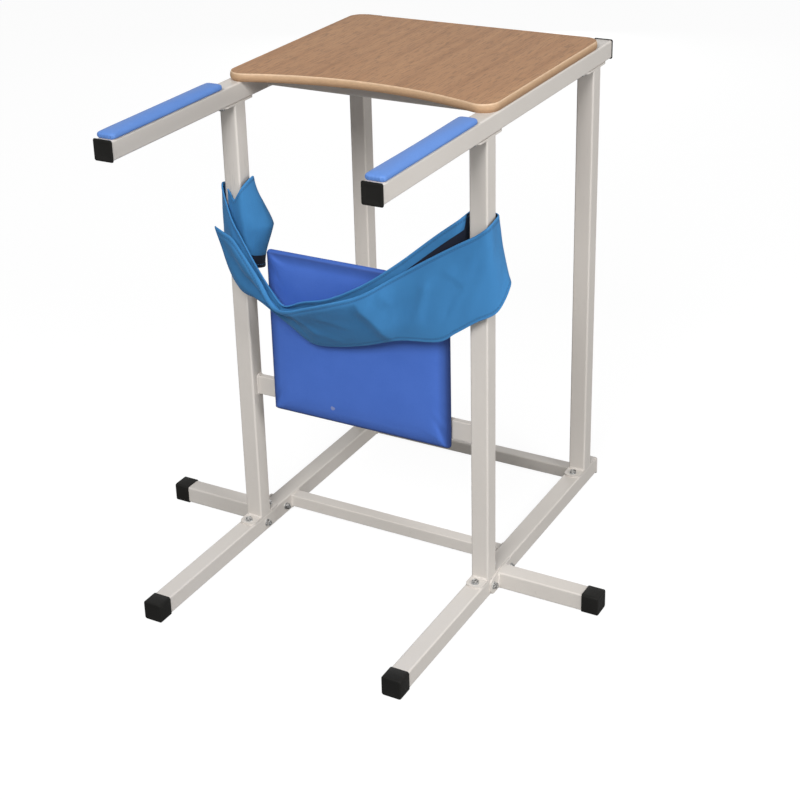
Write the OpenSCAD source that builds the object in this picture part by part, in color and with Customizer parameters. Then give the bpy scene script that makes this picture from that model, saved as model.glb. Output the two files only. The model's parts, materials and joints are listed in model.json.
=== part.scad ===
// Standing frame: a bolted frame of square tube with two padded armrests, a small table with a
// hollowed front edge, a padded knee board and a wide cloth strap behind the hips.
// Millimetres. Origin on the floor, under the middle of the top rails.
// +Y runs from the side where the person steps in towards the table, +Z is up, left is -X.

/* [Frame] */
// Outside width of the square tubes
tube_w = 40; // [34:1:48]
// Wall of the square tubes
tube_wall = 2; // [1:0.5:3.5]
// Outside corner radius of the square tubes
tube_corner_r = 4; // [2.5:0.5:8]
// Left posts to right posts, centre to centre
post_spacing = 580; // [540:5:680]
// Front posts to rear posts, centre to centre
post_gap = 534; // [440:1:640]
// Front end of a top rail to the centre of the front post
arm_reach = 432; // [300:1:520]
// Centre of the rear post to the rear end of a top rail
rail_tail = 79; // [64:1:120]
// Floor to the underside of the top rails
rail_z = 1040; // [980:5:1200]

/* [Base] */
// Front end of a base tube to the centre of the front post
base_reach = 419; // [300:1:520]
// Centre of the rear post to the rear end of a base tube
base_tail = 57; // [57:1:100]
// Length of an outrigger tube outside its flange plate
outrigger_l = 230; // [120:5:320]
// Outrigger axis behind the centre of the front post
outrigger_set = 44; // [30:1:50]

/* [Crossbars] */
// Outside width of the square crossbars
bar_w = 30; // [22:1:34]
// Wall of the crossbars
bar_wall = 1.5; // [1:0.25:2.5]
// Outside corner radius of the crossbars
bar_corner_r = 3; // [2:0.5:6]
// Front crossbars behind the centre of the front posts
front_bar_set = 127; // [120:1:200]
// Rear crossbars behind the centre of the rear posts
rear_bar_set = 6; // [0:1:10]
// Height of the knee crossbar
knee_bar_h = 45; // [30:1:60]
// Depth of the knee crossbar
knee_bar_d = 15; // [10:1:20]
// Floor to the underside of the knee crossbar
knee_bar_z = 358; // [345:1:450]

/* [Plates and bolts] */
// Length of a bolted end plate
plate_l = 112; // [104:1:113]
// Thickness of an end plate
plate_t = 4; // [3:0.5:6]
// Corner radius of an end plate
plate_end_r = 14; // [4:1:16]
// Distance between the two bolts of a plate
bolt_pitch = 84; // [76:1:90]
// Bolt diameter
bolt_d = 8; // [6:1:9]
// Bolt head and nut across flats
bolt_flats = 13; // [11:0.5:14]
// Height of a bolt head
bolt_head_h = 5.5; // [4:0.5:7]
// Height of a nut
nut_h = 6.5; // [5:0.5:8]
// Washer diameter
washer_d = 17; // [15:1:20]
// Washer thickness
washer_t = 1.6; // [1:0.2:2.4]
// Room round a bolt in its holes
bolt_fit = 0.4; // [0.2:0.1:0.8]

/* [Caps and plugs] */
// Wall of the black sleeve caps
cap_wall = 2; // [1.5:0.5:4]
// Length of tube inside a sleeve cap
cap_grip = 36; // [20:1:50]
// Edge radius of the sleeve caps
cap_r = 5; // [2:0.5:7]
// Thickness of a plug's head
plug_head = 3; // [3:0.5:8]
// Length of a plug inside its tube
plug_grip = 22; // [12:1:26]
// Edge radius of a plug's head
plug_r = 2.5; // [1:0.25:3]

/* [Table] */
// Rear edge of the table behind the centre of the rear posts
table_tail = 24; // [10:1:70]
// Front corners of the table behind the centre of the front posts
table_set = 3; // [0:1:10]
// Thickness of the table
table_t = 18; // [15:1:25]
// Radius of the table's corners
table_corner_r = 35; // [15:1:50]
// Depth of the hollow in the front edge
table_scoop = 48; // [20:1:80]
// Thickness of the edge band
edge_t = 3; // [2.75:0.25:5]
// Swell of the edge band
edge_swell = 2.5; // [1:0.25:2.5]

/* [Pads] */
// Rear end of an armrest pad to the centre of the front post
arm_pad_back = 57; // [57:1:120]
// Width of an armrest pad
arm_pad_w = 43; // [36:1:60]
// Height of an armrest pad at its edge
arm_pad_h = 13; // [11:0.5:20]
// Rise of an armrest pad above its edge
arm_crown = 5; // [2:0.5:8]
// Front end of the rail to the armrest pad
arm_pad_set = 4; // [0:1:12]
// Width of the knee pad
knee_pad_w = 438; // [300:2:444]
// Height of the knee pad
knee_pad_h = 384; // [250:1:420]
// Thickness of the knee pad at its edge, board included
knee_pad_t = 19; // [15:0.5:24]
// Rise of the knee pad above its edge
knee_crown = 4; // [2:0.5:6]
// Floor to the lower edge of the knee pad
knee_pad_z = 338; // [300:1:350]

/* [Hip strap] */
// Width of the strap
strap_w = 200; // [150:5:220]
// Thickness of the strap, two cloths and their filling
strap_t = 4; // [2:0.5:5]
// Height of the strap's middle on the posts
strap_z = 770; // [740:5:840]
// How far the slung strap hangs forward
strap_slack = 45; // [40:1:70]
// Room between the strap and what it passes
strap_gap = 2; // [1.5:0.25:4]
// Room between the strap and the back of a post, where it pulls tight
strap_snug = 0.4; // [0.4:0.1:2]

/* [Hidden] */
// Smoothness of true circles
$fn = 48;
// Overrun of a cut past the face that it opens
over = 1;
// Room between a cap or plug and its tube
cap_fit = 0.1;
// Wall of the knee crossbar
knee_bar_wall = 1.5;
// Corner radius of the knee crossbar
knee_bar_corner_r = 2.5;
// Thickness of the boards under the armrest pads
arm_board_t = 5;
// Thickness of the board behind the knee pad
knee_board_t = 8;
// Cover of a pad beside its board
pad_wrap = 4;
// Corner radius of the pads
arm_pad_r = 8;
knee_pad_r = 6;
// How far a pad's sides are drawn in between its corners
arm_draw = 0.6;
knee_draw = 1.5;
// Round of a pad's edge
arm_edge = 4;
knee_edge = 6;
// Screws that hold the table and the pads
screw_d = 5;
screw_head_d = 10;
screw_head_h = 3;
screw_fit = 0.1;
// How deep a screw goes into a board
table_bite = 12;
arm_bite = 4;
knee_bite = 6;
// Thread end of a bolt past its nut
bolt_tail = 2;
// Thickness of a plug's legs
plug_wall = 3;
// Room between the edge band and the board
edge_fit = 0.3;
// Butt joint between the band along the hollow and the band round the rest
edge_joint = 0.1;
// Overlap of the front corners with the hollow, so that the two curves cross
meet_over = 0.05;
// Room between a board and the pocket in its pad
pocket_fit = 0.2;

half = tube_w / 2;
post_x = post_spacing / 2;
clear_w = post_spacing - tube_w;
rail_l = arm_reach + post_gap + rail_tail;
base_l = base_reach + post_gap + base_tail;
table_d = post_gap + table_tail - table_set;
arm_pad_l = arm_reach - arm_pad_set - arm_pad_back;
front_y = arm_reach - rail_l / 2;
rear_y = front_y + post_gap;
base_z = cap_wall + cap_fit;
base_mid = base_z + half;
base_top = base_z + tube_w;
base_front = front_y - base_reach;
base_rear = base_front + base_l;
post_low = base_top + plate_t;
post_high = rail_z - plate_t;
rail_top = rail_z + tube_w;
rail_mid = rail_z + half;
outrigger_y = front_y + outrigger_set;
outrigger_x = post_x + half + plate_t;
front_bar_y = front_y + front_bar_set;
rear_bar_y = rear_y + rear_bar_set;
bolt_r = bolt_d / 2;
hole_r = bolt_r + bolt_fit;
head_r = bolt_flats / 2 / cos(30);
table_w = post_spacing + tube_w;
table_front = front_y + table_set;
sides = [-1, 1];
post_rows = [front_y, rear_y];
// Screws along a rail as shares of the table's depth and of the pad's length
table_screw_shares = [0.16, 0.5, 0.84];
arm_screw_shares = [0.18, 0.82];
// Screws along the knee crossbar as shares of the pad's half width
knee_screw_shares = [-0.7, 0, 0.7];

paint = [0.83, 0.80, 0.77];
black = [0.10, 0.10, 0.10];
grey = [0.76, 0.74, 0.72];
zinc = [0.66, 0.66, 0.65];
wood = [0.67, 0.52, 0.41];
edge_wood = [0.78, 0.62, 0.45];
ply = [0.74, 0.62, 0.46];
arm_blue = [0.40, 0.57, 0.90];
knee_blue = [0.28, 0.42, 0.74];
strap_blue = [0.26, 0.50, 0.74];

// A square with round corners, centred
module rounded_square(w, h, r) {
    square([w - 2 * r, h], center = true);
    square([w, h - 2 * r], center = true);
    for (sx = sides, sy = sides)
        translate([sx * (w / 2 - r), sy * (h / 2 - r)]) circle(r);
}

// The wall of a rectangular tube in section
module tube_section(w, h, wall, r) {
    difference() {
        rounded_square(w, h, r);
        rounded_square(w - 2 * wall, h - 2 * wall, max(r - wall, wall / 4));
    }
}

// Children in the XZ plane carried along +Y
module along_y(l) rotate([-90, 0, 0]) linear_extrude(l) children();

// Children in the YZ plane carried along +X
module along_x(l) rotate([90, 0, 90]) linear_extrude(l) children();

// Children at each bolt of an end plate that lies along Y
module at_plate_bolts() {
    for (s = sides) translate([0, s * bolt_pitch / 2, 0]) children();
}

// Children at each post, on the tube's axis
module at_posts() {
    for (s = sides, y = post_rows) translate([s * post_x, y, 0]) children();
}

// A plate with round corners and two bolt holes, from z = 0 up
module end_plate() {
    linear_extrude(plate_t) difference() {
        rounded_square(tube_w, plate_l, plate_end_r);
        at_plate_bolts() circle(hole_r);
    }
}

// Drilled places of a screw through a rail or crossbar, from below
module screw_hole(l, r) translate([0, 0, -over]) cylinder(h = l + 2 * over, r = r);

// The place of each table screw along a rail, then of each armrest screw
table_screw_ys = [for (k = table_screw_shares) table_front + k * table_d];
arm_pad_front = arm_pad_set - rail_l / 2;
arm_screw_ys = [for (k = arm_screw_shares) arm_pad_front + k * arm_pad_l];

module base_tube(s) {
    color(paint) difference() {
        translate([s * post_x, base_front, base_mid]) along_y(base_l)
            tube_section(tube_w, tube_w, tube_wall, tube_corner_r);
        for (y = post_rows) translate([s * post_x, y, base_mid])
            at_plate_bolts() cylinder(h = half + over, r = hole_r);
        translate([s * post_x - half - over, outrigger_y, base_mid]) at_plate_bolts()
            rotate([0, 90, 0]) cylinder(h = tube_w + 2 * over, r = hole_r);
    }
}
module base_tube_left() base_tube(-1);
module base_tube_right() base_tube(1);

module outrigger(s) {
    start = s > 0 ? outrigger_x : -outrigger_x - outrigger_l;
    color(paint) translate([start, outrigger_y, base_mid]) along_x(outrigger_l)
        tube_section(tube_w, tube_w, tube_wall, tube_corner_r);
}
module outrigger_left() outrigger(-1);
module outrigger_right() outrigger(1);

module outrigger_plates() {
    for (s = sides) color(paint)
        translate([s > 0 ? post_x + half : -outrigger_x, outrigger_y, base_mid])
            rotate([0, 90, 0]) end_plate();
}

module crossbar(y, z) {
    color(paint) translate([-clear_w / 2, y, z]) along_x(clear_w)
        tube_section(bar_w, bar_w, bar_wall, bar_corner_r);
}
module base_crossbar_front() crossbar(front_bar_y, base_mid);
module base_crossbar_rear() crossbar(rear_bar_y, base_mid);
module top_crossbar_front() crossbar(front_bar_y, rail_mid);
module top_crossbar_rear() crossbar(rear_bar_y, rail_mid);

// The knee crossbar's front face lies on the axis of the front posts
knee_bar_mid = knee_bar_z + knee_bar_h / 2;
knee_screw_xs = [for (k = knee_screw_shares) k * knee_pad_w / 2];
module knee_crossbar() {
    color(paint) difference() {
        translate([-clear_w / 2, front_y + knee_bar_d / 2, knee_bar_mid]) along_x(clear_w)
            tube_section(knee_bar_d, knee_bar_h, knee_bar_wall, knee_bar_corner_r);
        for (x = knee_screw_xs) translate([x, front_y - over, knee_bar_mid])
            rotate([-90, 0, 0]) cylinder(h = knee_bar_d + 2 * over, r = screw_d / 2 + screw_fit);
    }
}

module post(s, y) {
    color(paint) translate([s * post_x, y, post_low]) linear_extrude(post_high - post_low)
        tube_section(tube_w, tube_w, tube_wall, tube_corner_r);
}
module post_front_left() post(-1, front_y);
module post_front_right() post(1, front_y);
module post_rear_left() post(-1, rear_y);
module post_rear_right() post(1, rear_y);

module post_base_plates() color(paint) at_posts() translate([0, 0, base_top]) end_plate();
module post_top_plates() color(paint) at_posts() translate([0, 0, post_high]) end_plate();

module top_rail(s) {
    color(paint) difference() {
        translate([s * post_x, -rail_l / 2, rail_mid]) along_y(rail_l)
            tube_section(tube_w, tube_w, tube_wall, tube_corner_r);
        for (y = post_rows) translate([s * post_x, y, rail_z - over])
            at_plate_bolts() cylinder(h = half, r = hole_r);
        for (y = concat(table_screw_ys, arm_screw_ys)) translate([s * post_x, y, rail_z])
            screw_hole(tube_w, screw_d / 2 + screw_fit);
    }
}
module top_rail_left() top_rail(-1);
module top_rail_right() top_rail(1);

// A side view with its two lower corners round, from y = 0 up
module round_ended(w, l, r) {
    translate([-w / 2, r]) square([w, l - r]);
    translate([r - w / 2, 0]) square([w - 2 * r, r]);
    for (s = sides) translate([s * (w / 2 - r), r]) circle(r);
}

// A block with its closed end at z = 0 and round edges there and along its sides
module round_block(w, l, r) {
    intersection() {
        linear_extrude(l) rounded_square(w, w, r);
        translate([0, w / 2, 0]) rotate([90, 0, 0]) linear_extrude(w) round_ended(w, l, r);
        translate([-w / 2, 0, 0]) rotate([90, 0, 90]) linear_extrude(w) round_ended(w, l, r);
    }
}

// A sleeve cap, closed at z = 0, that the tube goes into along +Z
module sleeve_cap() {
    outer = tube_w + 2 * base_z;
    color(black) difference() {
        round_block(outer, cap_wall + cap_grip, cap_r);
        translate([0, 0, cap_wall]) linear_extrude(cap_grip + over)
            rounded_square(tube_w + 2 * cap_fit, tube_w + 2 * cap_fit, tube_corner_r + cap_fit);
    }
}

// A plug: a proud head at z = 0 and two springy legs that go into the tube along +Z
module tube_plug(shade) {
    body_w = tube_w - 2 * (tube_wall + cap_fit);
    body_r = max(tube_corner_r - tube_wall - cap_fit, cap_fit);
    color(shade) {
        round_block(tube_w + 2 * base_z, plug_head, plug_r);
        translate([0, 0, plug_head]) linear_extrude(plug_grip) difference() {
            rounded_square(body_w, body_w, body_r);
            square([body_w - 2 * plug_wall, body_w + over], center = true);
        }
    }
}

module foot_cap_front(s)
    translate([s * post_x, base_front - cap_wall, base_mid]) rotate([-90, 0, 0]) sleeve_cap();
module foot_cap_front_left() foot_cap_front(-1);
module foot_cap_front_right() foot_cap_front(1);

module outrigger_cap(s)
    translate([s * (outrigger_x + outrigger_l + cap_wall), outrigger_y, base_mid])
        rotate([0, -s * 90, 0]) sleeve_cap();
module outrigger_cap_left() outrigger_cap(-1);
module outrigger_cap_right() outrigger_cap(1);

module base_plug(s)
    translate([s * post_x, base_rear + plug_head, base_mid]) rotate([90, 0, 0]) tube_plug(grey);
module base_plug_left() base_plug(-1);
module base_plug_right() base_plug(1);

module rail_plug_front(s)
    translate([s * post_x, -rail_l / 2 - plug_head, rail_mid]) rotate([-90, 0, 0]) tube_plug(black);
module rail_plug_front_left() rail_plug_front(-1);
module rail_plug_front_right() rail_plug_front(1);

module rail_plug_rear(s)
    translate([s * post_x, rail_l / 2 + plug_head, rail_mid]) rotate([90, 0, 0]) tube_plug(black);
module rail_plug_rear_left() rail_plug_rear(-1);
module rail_plug_rear_right() rail_plug_rear(1);

// The table's outline: round corners, and a hollow front edge that meets the front corners smoothly
corner_x = table_w / 2 - table_corner_r;
corner_front = table_front + table_corner_r;
corner_rear = table_front + table_d - table_corner_r;
corner_drop = table_corner_r - table_scoop;
scoop_r = (pow(corner_x, 2) + pow(corner_drop, 2) - pow(table_corner_r, 2)) / (2 * table_scoop);
scoop_y = table_front + table_scoop - scoop_r;
scoop_angle = asin(corner_x / (scoop_r + table_corner_r));

module table_outline(inset) {
    r = table_corner_r - inset;
    w = table_w / 2 - inset;
    meet_x = corner_x - r * sin(scoop_angle);
    meet_y = corner_front - r * cos(scoop_angle);
    for (s = sides) {
        translate([s * corner_x, corner_rear]) circle(r);
        translate([s * corner_x, corner_front]) circle(r + meet_over);
    }
    difference() {
        union() {
            translate([-w, corner_front]) square([2 * w, corner_rear - corner_front]);
            translate([-corner_x, corner_front])
                square([2 * corner_x, corner_rear - corner_front + r]);
            translate([-meet_x, meet_y]) square([2 * meet_x, corner_front - meet_y + r]);
        }
        translate([0, scoop_y]) circle(scoop_r + inset, $fn = 240);
    }
}

module table_board() {
    color(wood) difference() {
        translate([0, 0, rail_top]) linear_extrude(table_t) table_outline(edge_t + edge_fit);
        for (s = sides, y = table_screw_ys) translate([s * post_x, y, rail_top - over])
            cylinder(h = table_bite + over, r = screw_d / 2 + screw_fit);
    }
}

// The edge band in section: swollen outwards at x = 0, flat against the board at x = edge_t
swell_r = (pow(table_t / 2, 2) + pow(edge_swell, 2)) / (2 * edge_swell);
module edge_section() {
    intersection() {
        square([edge_t, table_t]);
        translate([swell_r, table_t / 2]) circle(swell_r, $fn = 120);
    }
}
module edge_corner(x, y, from, turn) {
    translate([x, y, rail_top]) rotate([0, 0, from]) rotate_extrude(angle = turn)
        translate([table_corner_r, 0]) mirror([1, 0]) edge_section();
}
module edge_straight(x, y, turn, l) {
    translate([x, y, rail_top]) rotate([0, 0, turn]) rotate([90, 0, 90])
        linear_extrude(l) edge_section();
}
module table_edge_band() {
    side_l = corner_rear - corner_front;
    joint_angle = edge_joint / table_corner_r * 180 / PI;
    color(edge_wood) {
        edge_corner(corner_x, corner_rear, 0, 90);
        edge_corner(-corner_x, corner_rear, 90, 90);
        edge_corner(-corner_x, corner_front, 180, 90 + scoop_angle - joint_angle);
        edge_corner(corner_x, corner_front, 270 - scoop_angle + joint_angle,
            90 + scoop_angle - joint_angle);
        edge_straight(table_w / 2, corner_front, 90, side_l);
        edge_straight(-table_w / 2, corner_rear, 270, side_l);
        edge_straight(corner_x, corner_rear + table_corner_r, 180, 2 * corner_x);
        translate([0, scoop_y, rail_top]) rotate([0, 0, 90 - scoop_angle])
            rotate_extrude(angle = 2 * scoop_angle, $fn = 240)
                translate([scoop_r, 0]) edge_section();
    }
}

// Outline of a pad: round corners, with the sides drawn in between them
corner_steps = 5;
side_steps = 4;
function pad_corner(w, l, r, q) = let (
    sx = q == 0 || q == 3 ? 1 : -1,
    sy = q < 2 ? 1 : -1
) [for (k = [0 : corner_steps]) let (a = 90 * (q + k / corner_steps))
    [sx * (w / 2 - r) + r * cos(a), sy * (l / 2 - r) + r * sin(a)]];
function pad_side(w, l, r, q) = let (
    a = pad_corner(w, l, r, q)[corner_steps],
    b = pad_corner(w, l, r, (q + 1) % 4)[0]
) [for (k = [1 : side_steps - 1]) a + (b - a) * k / side_steps];
function pad_outline(w, l, r, draw) = [
    for (q = [0 : 3]) for (p = concat(pad_corner(w, l, r, q), pad_side(w, l, r, q)))
        let (
            pull_x = 1 - draw / (w / 2) * cos(180 * p[1] / l),
            pull_y = 1 - draw / (l / 2) * cos(180 * p[0] / w)
        ) [p[0] * pull_x, p[1] * pull_y]
];

// Rings of a pad from its flat back up to its crown, as [inset share, shrink share, height share, rise share]
pad_ring_shares = [
    [0.5, 1, 0, 0], [0.1, 1, 0.16, 0], [0, 1, 0.5, 0], [0.1, 1, 0.8, 0], [0.45, 1, 0.95, 0.05],
    [1, 1, 1, 0.25], [1, 0.75, 1, 0.68], [1, 0.42, 1, 0.93]
];

// A pad that lies on z = 0: flat below, with a round edge and a crowned top
module crowned_pad(w, l, h, r, edge, crown, draw) {
    rings = [for (k = pad_ring_shares) [
        for (p = pad_outline(w - 2 * edge * k[0], l - 2 * edge * k[0], r, draw))
            [p[0] * k[1], p[1] * k[1], h * k[2] + crown * k[3]]
    ]];
    count = len(rings[0]);
    last = len(rings) - 1;
    points = concat([for (ring = rings) each ring], [[0, 0, 0], [0, 0, h + crown]]);
    low = count * (last + 1);
    walls = [for (k = [0 : last - 1], i = [0 : count - 1]) let (
        a = k * count + i,
        b = k * count + (i + 1) % count
    ) each [[a, a + count, b], [b, a + count, b + count]]];
    floor_faces = [for (i = [0 : count - 1]) [low, i, (i + 1) % count]];
    roof_faces = [for (i = [0 : count - 1])
        [low + 1, last * count + (i + 1) % count, last * count + i]];
    polyhedron(points, concat(walls, floor_faces, roof_faces));
}

// A board with round corners that fits the pocket in a pad's back
module pad_board(w, l, t, r) linear_extrude(t) rounded_square(w - 2 * pad_wrap, l - 2 * pad_wrap, r);
module pad_pocket(w, l, t, r) {
    translate([0, 0, -over])
        pad_board(w + 2 * pocket_fit, l + 2 * pocket_fit, t + over, r + pocket_fit);
}

module arm_place(s) {
    translate([s * post_x, arm_pad_front + arm_pad_l / 2, rail_top]) children();
}
module arm_screw_bores() {
    for (y = arm_screw_ys) translate([0, y - arm_pad_front - arm_pad_l / 2, -over])
        cylinder(h = arm_bite + over, r = screw_d / 2 + screw_fit);
}
module armrest_board(s) {
    color(ply) arm_place(s) difference() {
        pad_board(arm_pad_w, arm_pad_l, arm_board_t, arm_pad_r - pad_wrap);
        arm_screw_bores();
    }
}
module armrest_board_left() armrest_board(-1);
module armrest_board_right() armrest_board(1);

module armrest_pad(s) {
    color(arm_blue) arm_place(s) difference() {
        crowned_pad(arm_pad_w, arm_pad_l, arm_pad_h, arm_pad_r, arm_edge, arm_crown, arm_draw);
        pad_pocket(arm_pad_w, arm_pad_l, arm_board_t, arm_pad_r - pad_wrap);
    }
}
module armrest_pad_left() armrest_pad(-1);
module armrest_pad_right() armrest_pad(1);

// Children that lie on z = 0 set up against the front face of the knee crossbar
module knee_place() {
    translate([0, front_y, knee_pad_z + knee_pad_h / 2]) rotate([90, 0, 0]) children();
}
module knee_board() {
    color(ply) difference() {
        knee_place() pad_board(knee_pad_w, knee_pad_h, knee_board_t, knee_pad_r - pad_wrap);
        for (x = knee_screw_xs) translate([x, front_y + over, knee_bar_mid]) rotate([90, 0, 0])
            cylinder(h = knee_bite + over, r = screw_d / 2 + screw_fit);
    }
}
module knee_pad() {
    color(knee_blue) knee_place() difference() {
        crowned_pad(knee_pad_w, knee_pad_h, knee_pad_t, knee_pad_r, knee_edge, knee_crown, knee_draw);
        pad_pocket(knee_pad_w, knee_pad_h, knee_board_t, knee_pad_r - pad_wrap);
    }
}

// The strap starts as a loose end in front of the left post, hangs to the right post, goes round it,
// comes back behind itself and ends in a loop round the left post. Each row is one place along it:
// [share of post_x, share of strap_ring_x, share of strap_ring_y forward or of strap_back_y back,
// share of strap_slack, share of strap_w].
strap_ring_x = half + strap_gap + strap_t / 2;
strap_ring_y = max(half, knee_pad_t + knee_crown) + strap_gap + strap_t / 2;
strap_back_y = half + strap_snug + strap_t / 2;
strap_top_shares = [
    [-1, -0.963, 1, 0.756, 0.029], [-1, -0.133, 1, 0.8, -0.009], [-1, 1.058, 1, 0.889, -0.069],
    [-0.818, 0, 1, 0.867, -0.248], [-0.698, 0, 1, 0.871, -0.487], [-0.592, 0, 1, 0.911, -0.726],
    [-0.465, 0, 1, 1.244, -0.749], [-0.303, 0, 1, 1.3, -0.671], [-0.098, 0, 1, 1.3, -0.564],
    [0.146, 0, 1, 0.956, -0.432], [0.399, 0, 1, 0.556, -0.196], [0.651, 0, 1, 0.467, 0.051],
    [1, -1.75, 1, 0.289, 0.236], [1, 0, 1, 0.109, 0.36], [1, 0.958, 0.9, 0, 0.455],
    [1, 1.083, -0.098, 0, 0.49], [1, 0.917, -1.049, 0, 0.51], [1, 0, -1, 0, 0.535],
    [1, -1, -1, 0, 0.56], [1, -1.154, 0, 0, 0.543], [1, -1.608, 1, 0, 0.491],
    [0.69, 0, 1, 0.2, 0.286], [0.414, 0, 1, 0.42, -0.056], [0.146, 0, 1, 0.56, -0.344],
    [-0.138, 0, 1, 0.6, -0.574], [-0.366, 0, 1, 0.64, -0.672], [-0.537, 0, 1, 0.6, -0.769],
    [-0.653, 0, 1, 0.511, -0.621], [-0.79, 0, 1, 0.489, -0.312], [-1, 1.383, 1, 0.467, -0.074],
    [-1, 0.3, 1, 0.356, 0.124], [-1, -1.042, 0.815, 0, 0.425], [-1, -1.125, -0.152, 0, 0.43],
    [-1, -0.917, -1.049, 0, 0.45], [-1, -0.058, -1, 0, 0.396], [-1, 0.808, -1.116, 0, 0.446],
    [-1, 1.312, -0.446, 0, 0.519], [-1, 1.083, 0.907, 0, 0.44], [-1, 0.287, 0.93, 0, 0.298],
    [-1, -0.112, 0.911, 0, 0.363], [-1, -0.375, 0.904, 0, 0.405]
];
strap_bottom_shares = [
    [-1, -0.908, 1, 0.733, -0.012], [-1, -0.392, 1, 0.733, -0.191], [-1, 0.442, 1, 0.733, -0.486],
    [-1, 1.475, 1, 0.667, -0.679], [-0.764, 0, 1, 0.511, -0.751], [-0.627, 0, 1, 0.511, -0.824],
    [-0.518, 0, 1, 0.356, -0.984], [-0.343, 0, 1, 0.256, -1.167], [-0.147, 0, 1, 0.244, -1.163],
    [0.131, 0, 1, 0.4, -1.055], [0.432, 0, 1, 0.533, -0.897], [0.734, 0, 1, 0.511, -0.828],
    [1, -1.587, 1, 0.422, -0.703], [1, 0.146, 1, 0.267, -0.557], [1, 1.825, 0.9, 0, -0.436],
    [1, 2.421, -0.152, 0, -0.211], [1, 1.688, -1.205, 0, -0.175], [1, 0, -1.098, 0, -0.21],
    [1, -1.167, -1.08, 0, -0.27], [1, -1.417, 0, 0, -0.35], [1, -1.917, 1, 0.02, -0.51],
    [0.686, 0, 1, 0.069, -0.77], [0.4, 0, 1, 0.04, -0.925], [0.131, 0, 1, 0.02, -1.02],
    [-0.145, 0, 1, 0.02, -1.11], [-0.36, 0, 1, 0.04, -1.062], [-0.533, 0, 1, 0.091, -0.954],
    [-0.669, 0, 1, 0.16, -0.809], [-0.812, 0, 1, 0.333, -0.644], [-1, 0.938, 1, 0.356, -0.403],
    [-1, -0.342, 1, 0.267, -0.204], [-1, -1.167, 0.815, 0, -0.235], [-1, -1.208, -0.152, 0, -0.26],
    [-1, -0.917, -1.121, 0, -0.28], [-1, 0.25, -1.058, 0, -0.36], [-1, 1.408, -1.116, 0, -0.483],
    [-1, 1.929, -0.58, 0, -0.521], [-1, 1.375, 0.926, 0, -0.462], [-1, 0.417, 0.93, 0, -0.37],
    [-1, 0, 0.911, 0, -0.29], [-1, -0.375, 0.904, 0, -0.21]
];
// Belly of the strap at each place, towards its outer cloth, as a share of strap_slack
strap_belly_shares = [
    0, 0.049, 0.1, 0.12, 0.1, 0.049, 0.044, 0.033, 0.044, 0.133, 0.2, 0.18, 0.14,
    0.14, 0.044, -0.111, 0, 0.12, 0.049, 0, -0.049, -0.049, -0.049, -0.049, -0.049, -0.049,
    -0.049, -0.049, -0.049, -0.049, 0, 0, 0, -0.049, -0.1, -0.356, -0.644, -0.089, -0.011,
    0, 0
];
// Soft folds along the strap: their depth at each place, as a share of strap_slack
strap_fold_shares = [
    0, 0.02, 0.049, 0.08, 0.12, 0.14, 0.067, 0.033, 0.027, 0.022, 0.04, 0.029, 0.02,
    0.02, 0, 0, 0, 0, 0, 0, 0, 0, 0.02, 0.029, 0.04, 0.06,
    0.1, 0.1, 0.06, 0.04, 0.02, 0, 0, 0, 0, 0.04, 0.071, 0, 0,
    0, 0
];
strap_cells = 6;
strap_folds = 1.5;
strap_places = len(strap_top_shares);
strap_rings = 2 * strap_places - 1;

function strap_point(row) = [
    post_x * row[0] + strap_ring_x * row[1],
    front_y - (row[2] < 0 ? strap_back_y : strap_ring_y) * row[2] - strap_slack * row[3],
    strap_z + strap_w * row[4]
];
// A smooth curve through every place of a list, at half places too
function strap_along(list, i) = let (
    k = floor(i / 2),
    last = len(list) - 1,
    a = list[max(k - 1, 0)],
    b = list[k],
    c = list[min(k + 1, last)],
    d = list[min(k + 2, last)]
) i % 2 == 0 ? b : (9 * (b + c) - (a + d)) / 16;
strap_top = [for (row = strap_top_shares) strap_point(row)];
strap_bottom = [for (row = strap_bottom_shares) strap_point(row)];
function strap_out(i) = let (
    a = strap_along(strap_top, max(i - 1, 0)) + strap_along(strap_bottom, max(i - 1, 0)),
    b = strap_along(strap_top, min(i + 1, strap_rings - 1))
        + strap_along(strap_bottom, min(i + 1, strap_rings - 1)),
    across = strap_along(strap_top, i) - strap_along(strap_bottom, i),
    n = cross(b - a, across)
) n / norm(n);
function strap_mid(i, v) = let (
    top = strap_along(strap_top, i),
    bottom = strap_along(strap_bottom, i),
    swell = strap_along(strap_belly_shares, i) * sin(180 * v)
        + strap_along(strap_fold_shares, i) * sin(360 * strap_folds * v)
) top + (bottom - top) * v + strap_out(i) * strap_slack * swell;

module hip_strap() {
    turn = 2 * (strap_cells + 1);
    points = [for (i = [0 : strap_rings - 1], side = sides, j = [0 : strap_cells])
        let (v = (side < 0 ? j : strap_cells - j) / strap_cells)
            strap_mid(i, v) - strap_out(i) * side * strap_t / 2];
    walls = [for (i = [0 : strap_rings - 2], j = [0 : turn - 1]) let (
        a = i * turn + j,
        b = i * turn + (j + 1) % turn
    ) each [[a, a + turn, b], [b, a + turn, b + turn]]];
    end_row = (strap_rings - 1) * turn;
    ends = [for (j = [0 : strap_cells - 1]) let (k = turn - 1 - j) each [
        [j, j + 1, k], [j + 1, k - 1, k],
        [end_row + j, end_row + k, end_row + j + 1], [end_row + j + 1, end_row + k, end_row + k - 1]
    ]];
    color(strap_blue) polyhedron(points, concat(walls, ends));
}

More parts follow.
